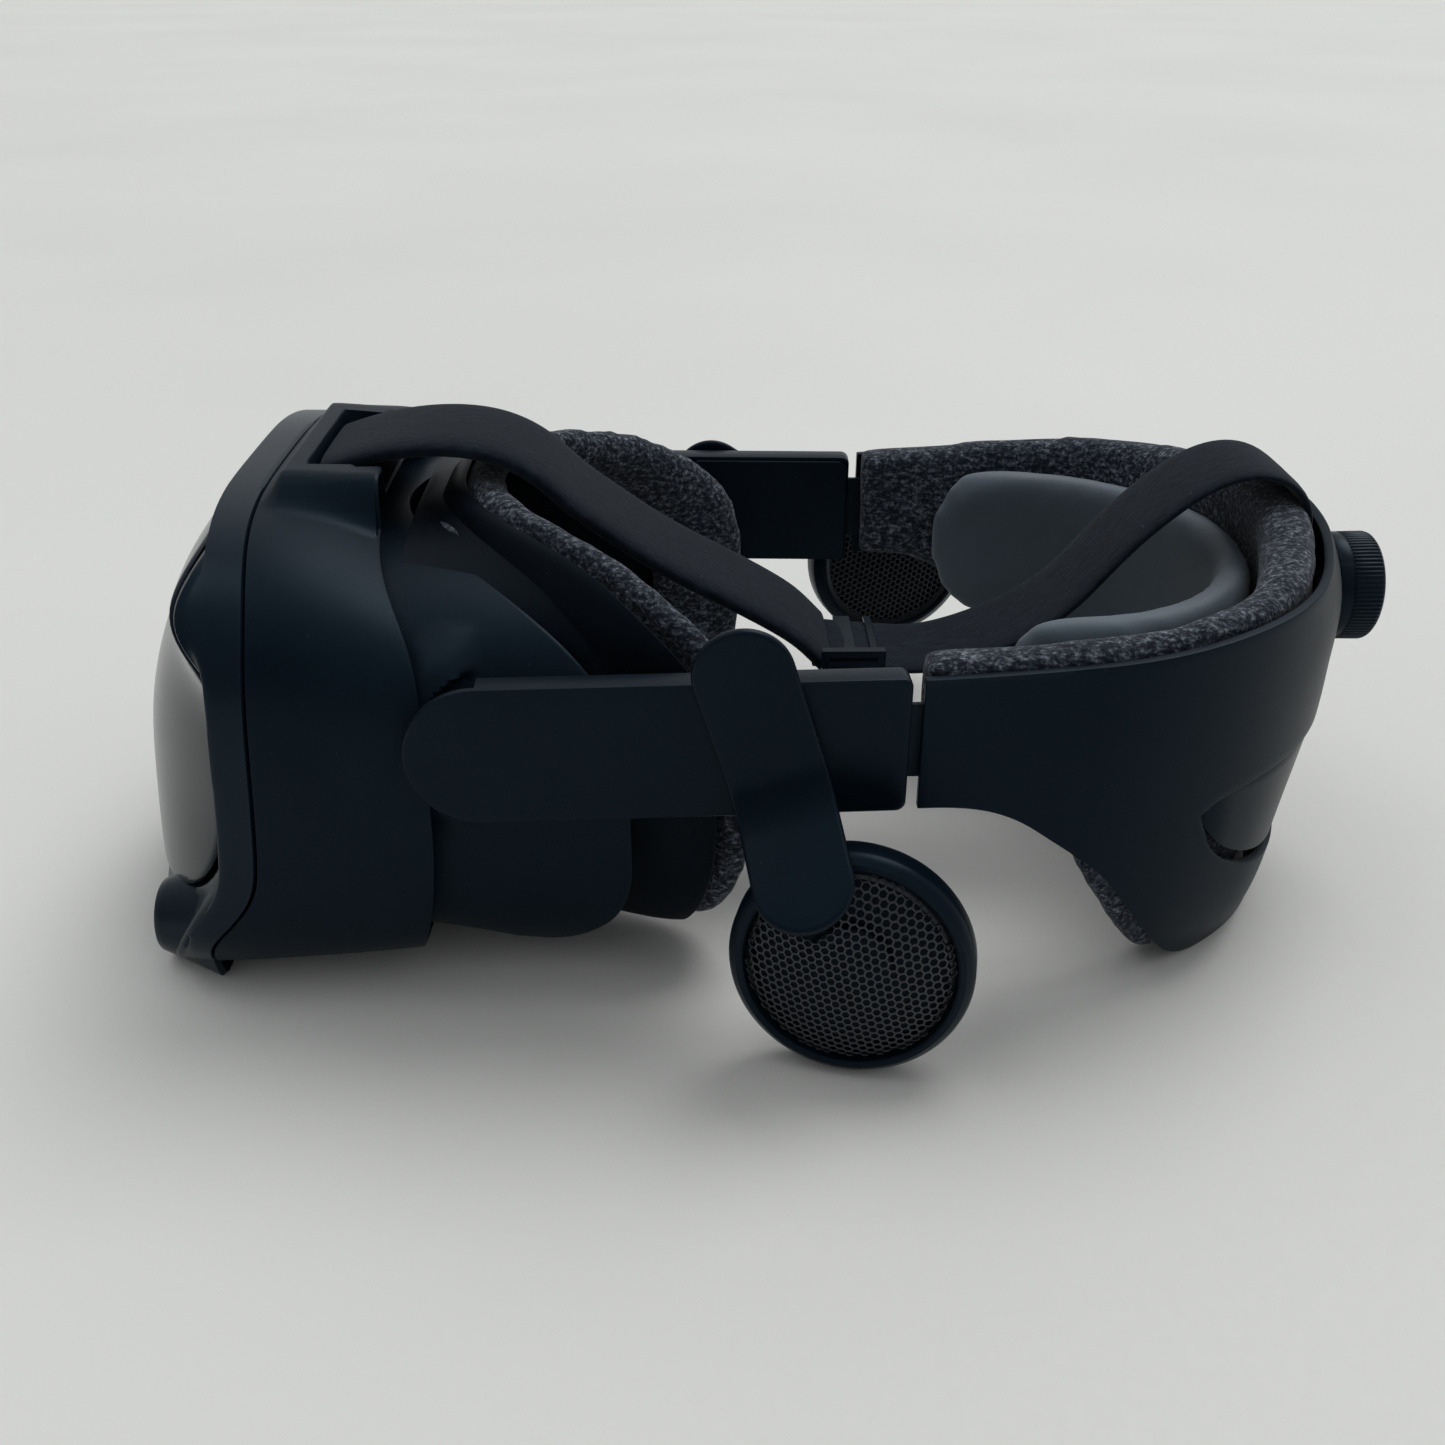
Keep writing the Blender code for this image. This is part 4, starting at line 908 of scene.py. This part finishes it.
def neck():
    """The neck's start on the arm, and its direction."""
    x = 88.6 + 24.6 * (25 - 12.5) / 16.3
    angle = math.atan2(24.6, 16.3)
    inward = -Vector((math.cos(angle), -math.sin(angle) * math.sin(EAR_TILT),
                      math.sin(angle) * math.cos(EAR_TILT)))
    return ear_point(25, 0, x), inward


def grille_height(u, v, hole):
    r = math.hypot(u, v)
    h = 3.4 + 6.9 * max(1 - (r / 24.6) ** 2, 0) ** 0.85
    return h + 2.6 * math.exp(-((u - hole[0]) ** 2 + (v - hole[1]) ** 2) / 60)


def honeycomb(name, side, place, material, body, replaces, height, keep, pitch=2.05, bar=0.24):
    """A thin plate of six-sided holes over a disc."""
    bm = bmesh.new()
    shift = ear_shift(side)
    reach = 23.6
    count = int(reach / pitch) + 2
    for i in range(-count, count + 1):
        for j in range(-count * 2, count * 2 + 1):
            cx, cy = pitch * (i + 0.5 * (j % 2)), pitch * 0.8660254 * j
            if math.hypot(cx, cy) > reach or not keep(cx, cy):
                continue
            rings = []
            for size in (pitch / math.sqrt(3), pitch / math.sqrt(3) - bar):
                ring = []
                for k in range(6):
                    a = math.pi / 6 + math.pi / 3 * k
                    u, v = cx + size * math.cos(a), cy + size * math.sin(a)
                    ring.append(bm.verts.new((shift @ (place @ Vector((u, v, height(u, v))))) * MM))
                rings.append(ring)
            for k in range(6):
                j2 = (k + 1) % 6
                bm.faces.new((rings[0][k], rings[0][j2], rings[1][j2], rings[1][k]))
    bmesh.ops.remove_doubles(bm, verts=bm.verts, dist=0.03 * MM)
    bmesh.ops.recalc_face_normals(bm, faces=bm.faces)
    mesh = bpy.data.meshes.new(name)
    bm.to_mesh(mesh)
    bm.free()
    item = settle(bpy.data.objects.new(name, mesh), material, body, replaces, sharp=40)
    return thicken(item, 0.55, 0.0)


def speaker(side, label):
    place = speaker_frame()
    shift = ear_shift(side)
    body = f"{label}_speaker"
    whole = shift @ place
    turned(f"{label}_speaker_ring", [
        (24.3, 3.0), (24.5, 4.2), (24.9, 5.0), (25.5, 5.4), (26.5, 5.2), (27.6, 4.2), (28.35, 3.1),
        (28.6, 2.2), (28.6, -2.6), (28.3, -3.5), (26.6, -5.2), (25.6, -5.9), (24.9, -6.0), (24.4, -5.4), (24.3, -3.0)],
        whole, SATIN, body, (f"{label}_speaker_housing",), steps=120, sharp=24)
    start, inward = neck()
    ball = place.inverted() @ (start + inward * 8.0)
    hole = (ball.x, ball.y)
    honeycomb(f"{label}_grille_holes", side, place, MESH, body, (f"{label}_speaker_grille",),
              lambda u, v: grille_height(u, v, hole), lambda u, v: math.hypot(u - hole[0], v - hole[1]) > 4.6)
    honeycomb(f"{label}_ear_grille_holes", side, place, MESH, body, (f"{label}_speaker_ear_grille",),
              lambda u, v: -3.6 - 1.0 * (1 - (u * u + v * v) / 600), lambda u, v: True)
    turned(f"{label}_grille_seat", [
        (24.4, 3.0), (23.9, 3.75), (22.9, 4.3), (22.7, 4.0), (23.0, 3.4), (24.4, 2.2)],
        whole, MESH, body, steps=96)
    turned(f"{label}_ear_grille_seat", [(24.4, -3.0), (22.7, -3.3), (22.7, -3.9), (24.4, -4.6)],
           whole, MESH, body, steps=96)
    turned(f"{label}_speaker_basket", [
        (0, 4.4), (7.5, 4.4), (9.6, 3.8), (9.9, 1.0), (14, 0.4), (21, 1.8), (23.6, 1.6), (23.8, -1.0),
        (22.0, -1.6), (16, -2.4), (9, -3.0), (0, -2.2)],
        whole, INNER, body, (f"{label}_speaker_driver",), steps=64)


# ---- crown -----------------------------------------------------------------------------

crown_top = lerp(((-40, 90.5), (0, 93.5), (30, 97.5), (60, 100.5), (90, 103)))
crown_bottom = lerp(((-40, 57), (-14, 52.5), (-6, 47), (4, 38), (14, 20), (24, 5), (32, .4), (60, .4),
                     (90, .4)))
side_lean = lerp(((0, -7.5), (12, -2.6), (28, 0), (50, 0.4), (80, 0), (110, 0)))
rear_lean = lerp(((0, -7.5), (12, -6.8), (24, -5.6), (36, -3.6), (48, -1.3), (58, 0), (73, 0.3),
                  (88, 0), (96, -2.2), (103, -5.5)))


def window_open(away):
    """How far the opening is spread at an angle from the rear: round at its two ends."""
    return math.sqrt(max(1 - (away / WINDOW_HALF_ANGLE) ** 4, 0))


def crown_stations(step=1.3, first=-39.4):
    half = list(np.arange(first, 0, step * 1.3)) + list(np.arange(0, 90, step))
    return [(float(s), 1) for s in half] + [(90.0, 1)] + [(float(s), -1) for s in reversed(half)]


def crown_xy(station, side, radius):
    if station < 0:
        return side * radius, CROWN_Y + station
    a = math.radians(station)
    return side * radius * math.cos(a), CROWN_Y + radius * math.sin(a)


def crown_lean(station, z):
    """The cup draws in towards the neck, and behind the head the upper edge leans in too."""
    share, z = float(ease(35, 70, station)), min(z, 103)
    return float(side_lean(z)) * (1 - share) + float(rear_lean(z)) * share


def crown_low(station):
    return max(float(crown_bottom(station)), 0.35)


def crown_window(station):
    """Lower and upper edge of the opening at a station: they meet where it is closed."""
    away = 90 - station
    spread = window_open(away)
    bottom, top = crown_low(station), float(crown_top(station))
    middle = max(WINDOW_Z, bottom + 0.14 * (top - bottom))
    return middle - WINDOW_DROP * spread, middle + WINDOW_RISE * spread


def crown_shell():
    rows = []
    for station, side in crown_stations():
        low, high = crown_window(station)
        bottom, top = crown_low(station), float(crown_top(station))
        row = []
        for a, b, count in ((bottom, low, 16), (high, top, 18)):
            for t in np.linspace(0, 1, count):
                z = a + (b - a) * t
                x, y = crown_xy(station, side, CROWN_RADIUS + crown_lean(station, z))
                row.append((x, y, z))
        rows.append(row)
    n = len(rows[0])
    points = [p for row in rows for p in row]
    faces = []
    for r in range(len(rows) - 1):
        for i in range(n - 1):
            if i != 15:
                faces.append((r * n + i, r * n + i + 1, (r + 1) * n + i + 1, (r + 1) * n + i))
    item = make("crown_cover", points, faces, SHELL, "crown", ("crown_shell",), sharp=45, merge=0.05)
    if sum((f.center.xy - Vector((0, CROWN_Y * MM))).dot(f.normal.xy) for f in item.data.polygons) < 0:
        item.data.flip_normals()
    thicken(item, 2.4, -1.0, 0.55)


def crown_leaf():
    """The flexible leaf inside the opening: it comes from under the upper band."""
    rows = []
    for a in np.linspace(-66, 66, 110):
        spread = window_open(abs(a))
        low, high = WINDOW_Z - WINDOW_DROP * spread, WINDOW_Z + WINDOW_RISE * spread
        lower = low + 3.4
        row = []
        for t in np.linspace(0, 1, 26):
            z = high + 5 + (lower - high - 5) * t
            out = float(ease(0.06, 0.26, t) * ease(0.1, 0.6, spread))
            radius = 76.9 + 2.2 * out + crown_lean(90 - abs(a), z)
            x, y = radius * math.sin(math.radians(a)), CROWN_Y + radius * math.cos(math.radians(a))
            row.append((x, y, z))
        rows.append(row)
    points, faces = grid(rows)
    item = make("crown_leaf", points, faces, SATIN, "crown", ("rear_bridge",), sharp=50)
    if sum((f.center.xy - Vector((0, CROWN_Y * MM))).dot(f.normal.xy) for f in item.data.polygons) < 0:
        item.data.flip_normals()
    thicken(item, 1.6, -1.0, 0.5)


def pad_rows(stations, section):
    return [[(*crown_xy(s, side, r), z) for r, z in section(s)] for s, side in stations]


def beside_shell(x, y, z):
    """Whether a place on the pad lies against the shell."""
    return math.hypot(x, max(y - CROWN_Y, 0)) > 71.0 + crown_lean(90, z) * (y > CROWN_Y)


def crown_pad():
    def section(s):
        front = float(ease(46, 26, s) * ease(-8, 4, s))
        bottom = max(crown_low(s + 3.4 * front) + 1.8 - 5.2 * front, 1.0)
        top = float(crown_top(s)) + 3.4 + 2.2 * float(ease(40, 80, s))
        inner = 60.3 + 5.6 * float(ease(66, 24, s))
        ring = []
        for k in range(36):
            t = math.tau * k / 36
            c, v = math.cos(t), math.sin(t)
            u = math.copysign(abs(c) ** 0.45, c)
            w = math.copysign(abs(v) ** 0.30, v)
            z = (bottom + top) / 2 + (top - bottom) / 2 * w
            outer = 73.4 + 5.0 * float(ease(top - 11, top - 4, z))
            outer += 5.2 * front * float(ease(bottom + 9, bottom + 3, z))
            ring.append(((inner + outer) / 2 + (outer - inner) / 2 * u + crown_lean(s, z), z))
        return ring
    points, faces = grid(pad_rows(crown_stations(3.0, -39.0), section), wrap=True, caps=True)
    item = raw("crown_cushion", points, faces)
    puff(item, 3.2, 1.5, 0.8, beside_shell)
    settle(item, FABRIC, "crown", ("crown_pad",), sharp=0)


def cradle_pad():
    wing = line(((-20, .8), (-6, 1), (90, 1)))
    foot = lerp(((-20, 56), (-6, 46), (24, 40), (60, 40), (90, 40)))

    def section(s):
        high, low = 50 + 46 * float(wing(s)), float(foot(s))
        end = float(ease(-20.5, -12, s))
        grow = 0.45 + 0.55 * end
        middle = (high + low) / 2
        ring = []
        for r, z in ((58.3, low + 1), (58.4, middle), (58.2, high - 6), (56.4, high - 1.5), (53, high),
                     (49.4, high - 2), (47.4, high - 7), (48.4, high - 15), (51.4, middle + 4),
                     (51.6, middle - 6), (50.4, low + 7), (51.2, low + 2), (54, low), (57, low)):
            ring.append((54 + (r - 54) * grow, middle + (z - middle) * grow))
        return ring
    stations = [s for s in crown_stations(2.4, -19.6)]
    points, faces = grid(pad_rows(stations, section), wrap=True, caps=True)
    item = raw("cradle_cushion", points, faces)
    puff(item, 4.0, 2.0, 0.9, lambda x, y, z: math.hypot(x, max(y - CROWN_Y, 0)) > 57.6)
    settle(item, FOAM, "crown", ("cradle_pad",), sharp=0)


def knob():
    """A turned knob with fine ribs along its axis and a smooth ring at the back."""
    rows = []
    ribs, per = 78, 6
    for depth, radius, rib in ((0, 14.2, 0), (0.5, 14.7, 0), (3.6, 14.8, 0), (3.9, 14.35, 0), (4.3, 14.35, 0),
                               (4.6, 14.8, .9), (11.2, 14.9, 1), (11.9, 14.7, .6), (12.5, 14.0, 0),
                               (12.8, 13.0, 0), (12.6, 11.6, 0), (12.3, 8, 0), (12.2, .2, 0)):
        row = []
        for k in range(ribs * per):
            a = math.tau * k / (ribs * per)
            r = radius - 0.32 * rib * (0.5 - 0.5 * math.cos(a * ribs))
            row.append((r * math.cos(a), 168 - 12.8 + depth, KNOB_Z + r * math.sin(a)))
        rows.append(row)
    points, faces = grid(rows, wrap=True, caps=True)
    make("crown_knob_ribbed", points, faces, SATIN, "crown_knob", ("crown_knob",), sharp=50)
    turned("crown_knob_shaft", [(0, 3), (3.6, 3), (3.6, -4.6), (0, -4.6)],
           place_on((0, 155.2, KNOB_Z), (0, 1, 0)), METAL, "crown_knob", steps=32)
    turned("crown_knob_collar", [(15.6, 1.1), (15.4, 1.5), (14.4, 1.6), (13.8, 1.0), (13.6, -2), (16.8, -2)],
           place_on((0, 153.4, KNOB_Z), (0, 1, 0)), SHELL, "crown", steps=72)


# ---- top strap -----------------------------------------------------------------------------

def strap(name, path, half, thick, start, end, dip):
    """Webbing along a path in Y and Z: soft round edges, a slight hollow across."""
    y, z = (np.array(v, float) for v in zip(*path))
    d = np.concatenate([[0], np.cumsum(np.hypot(np.diff(y), np.diff(z)))])
    fy, fz = lerp(list(zip(d, y))), lerp(list(zip(d, z)))
    lengths = np.linspace(d[0] + start * d[-1], d[-1] * end, 90)
    rows = []
    for l in lengths:
        cy, cz = fy(l), fz(l)
        ty, tz = fy(min(l + .2, d[-1])) - fy(max(l - .2, 0)), fz(min(l + .2, d[-1])) - fz(max(l - .2, 0))
        n = math.hypot(ty, tz)
        ty, tz = ty / n, tz / n
        row = []
        for k in range(56):
            t = math.tau * k / 56
            c, s = math.cos(t), math.sin(t)
            u = half * math.copysign(abs(c) ** 0.30, c)
            v = thick / 2 * math.copysign(abs(s) ** 0.75, s)
            v -= dip * (u / half) ** 2
            row.append((u, cy - tz * v, cz + ty * v))
        rows.append(row)
    points, faces = grid(rows, wrap=True, caps=True)
    item = raw(name, points, faces)
    item.data.materials.append(FELT)
    item.data.shade_smooth()
    item.data.set_sharp_from_angle(angle=math.radians(60))
    return item, float(lengths[-1] - lengths[0]) * MM


FRONT_STRAP = ((-110, 118.8), (-103, 121), (-94, 123), (-81, 124.0), (-67, 121.8), (-57, 116.4),
               (-48.6, 108.7), (-38.8, 101), (-26, 92), (-9.5, 82.6), (4, 74.8), (11, 69.8),
               (15.6, 65.2), (18, 62.6))
REAR_STRAP = ((14.8, 62.4), (24, 61.2), (34.6, 60.3), (44, 59.9), (56, 62.4), (70, 68.4), (83, 77.5),
              (91, 86.8), (99, 96.5), (108, 105.2), (119, 112.6), (129, 114.6), (137, 112),
              (142, 106.4), (143.5, 99))


def straps():
    first, length = strap("strap_front_fixed", FRONT_STRAP, 18.5, 4.6, 0, 0.19, dip=0.3)
    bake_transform(first)
    second, length = strap("strap_front_free", FRONT_STRAP, 18.5, 4.6, 0.19, 1, dip=0.3)
    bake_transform(second)
    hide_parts("top_strap_front")
    third, length = strap("strap_rear", REAR_STRAP, 15, 2.5, 0, 1, dip=0.2)
    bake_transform(third)
    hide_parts("top_strap_rear")


def brick(name, low, high):
    points = [(x, y, z) for x in (low[0], high[0]) for y in (low[1], high[1]) for z in (low[2], high[2])]
    faces = [(0, 1, 3, 2), (4, 6, 7, 5), (0, 4, 5, 1), (2, 3, 7, 6), (0, 2, 6, 4), (1, 5, 7, 3)]
    return raw(name, points, faces)


def buckle():
    item = brick("buckle_frame", (-22, 16.5, 61.5), (22, 33.5, 69.5))
    for y in (20.6, 29.4):
        cut(item, brick("slot", (-18, y - 2, 50), (18, y + 2, 80)))
    for z in (63.9, 67.1):
        for side in (1, -1):
            low, high = sorted((side * 21.3, side * 26))
            cut(item, brick("groove", (low, 18.6, z - 0.55), (high, 31.4, z + 0.55)))
    cut(item, brick("trough", (-30, 10, 62.4), (19.4, 40, 80)))
    cut(item, brick("far_side", (-30, 10, 50), (-16, 40, 80)))
    edge = item.modifiers.new("edges", "BEVEL")
    edge.width, edge.segments = 0.5 * MM, 3
    edge.limit_method = "ANGLE"
    settle(item, SATIN, "headband", ("strap_buckle",), sharp=40)


def lenses():
    for side, label in ((1, "left"), (-1, "right")):
        place = place_on((side * 32, -92 + 9.2, 59), (0, 1, 0))
        profile = [(0, 6.0), (4, 5.85), (8, 5.4), (11, 4.7), (14, 3.6), (17, 2.2), (19.4, 0.9), (20, 0.4),
                   (20, -0.8), (10, -2.1), (0, -2.6)]
        turned(f"{label}_lens_dome", profile, place, GLASS, f"{label}_eye", (f"{label}_lens",), steps=96)
        ring = [(20.5, 5.2), (21.4, 5.9), (22.3, 5.7), (22.7, 5.0), (22.7, -12.0), (20.6, -12.0)]
        turned(f"{label}_lens_ring", ring, place, INNER, f"{label}_eye", steps=96)


front_plate()
dress_cad()
front_bezel()
cameras()
main_shell()
carriage()
gasket_frame()
gasket_pad()
arms()
for side, label in ((1, "left"), (-1, "right")):
    ear_arm(side, label)
    speaker(side, label)
crown_shell()
crown_leaf()
crown_pad()
cradle_pad()
knob()
buckle()
straps()
lenses()


# ---- camera, light, floor --------------------------------------------------------------

def studio():
    a, e = VIEW_AZIMUTH, VIEW_ELEVATION
    data = bpy.data.cameras.new("camera")
    data.lens, data.sensor_width, data.clip_end = 36.05, 36.0, 30.0
    camera = bpy.data.objects.new("camera", data)
    camera.location = Vector((366.3, -16, 238.9)) * MM
    back = Vector((math.sin(a) * math.cos(e), -math.cos(a) * math.cos(e), math.sin(e)))
    camera.rotation_euler = (-back).to_track_quat("-Z", "Y").to_euler()
    bpy.context.scene.collection.objects.link(camera)
    bpy.context.scene.camera = camera
    floor_material, n, bsdf, co = tree("pale_floor")
    cloud = remap(n, noise(n, co, 1.6, 3), 0.3, 0.7, 0, 1)
    tone = mix(n, cloud, (0.735, 0.735, 0.700), (0.785, 0.785, 0.750))
    n.links.new(tone, bsdf.inputs["Base Color"])
    n.links.new(remap(n, noise(n, co, 320, 4), 0.3, 0.7, 0.55, 0.75), bsdf.inputs["Roughness"])
    bump(n, bsdf, noise(n, co, 700, 4), 0.12, 0.05)
    size, steps = 6000, 12
    rows = [[(x, y, -0.05) for x in np.linspace(-size, size, steps)] for y in np.linspace(-size, size, steps)]
    points, faces = grid(rows)
    mesh = bpy.data.meshes.new("floor")
    mesh.from_pydata([Vector(p) * MM for p in points], [], faces)
    floor = bpy.data.objects.new("floor", mesh)
    floor.data.materials.append(floor_material)
    bpy.context.scene.collection.objects.link(floor)
    lamps = (("key", (-0.45, 0.35, 1.0), 34, 1.12), ("rim", (-0.1, -0.6, 1.0), 30, 0.18))
    for name, towards, wide, power in lamps:
        lamp = bpy.data.lights.new(name, "SUN")
        lamp.angle, lamp.energy = math.radians(wide), power
        item = bpy.data.objects.new(name, lamp)
        item.rotation_euler = Vector(towards).to_track_quat("Z", "Y").to_euler()
        bpy.context.scene.collection.objects.link(item)
    world = bpy.data.worlds.new("studio")
    world.use_nodes = True
    n = world.node_tree
    sky = n.nodes.new("ShaderNodeTexCoord")
    dot = n.nodes.new("ShaderNodeVectorMath")
    dot.operation = "DOT_PRODUCT"
    dot.inputs[1].default_value = (-0.75, 0.15, 0.65)
    n.links.new(sky.outputs["Generated"], dot.inputs[0])
    n.links.new(remap(n, dot.outputs["Value"], -0.75, 1.0, 0.16, 0.70), n.nodes["Background"].inputs[1])
    n.nodes["Background"].inputs[0].default_value = (0.95, 0.975, 1.0, 1)
    bpy.context.scene.world = world
    bpy.context.scene.view_settings.view_transform = "Standard"


studio()
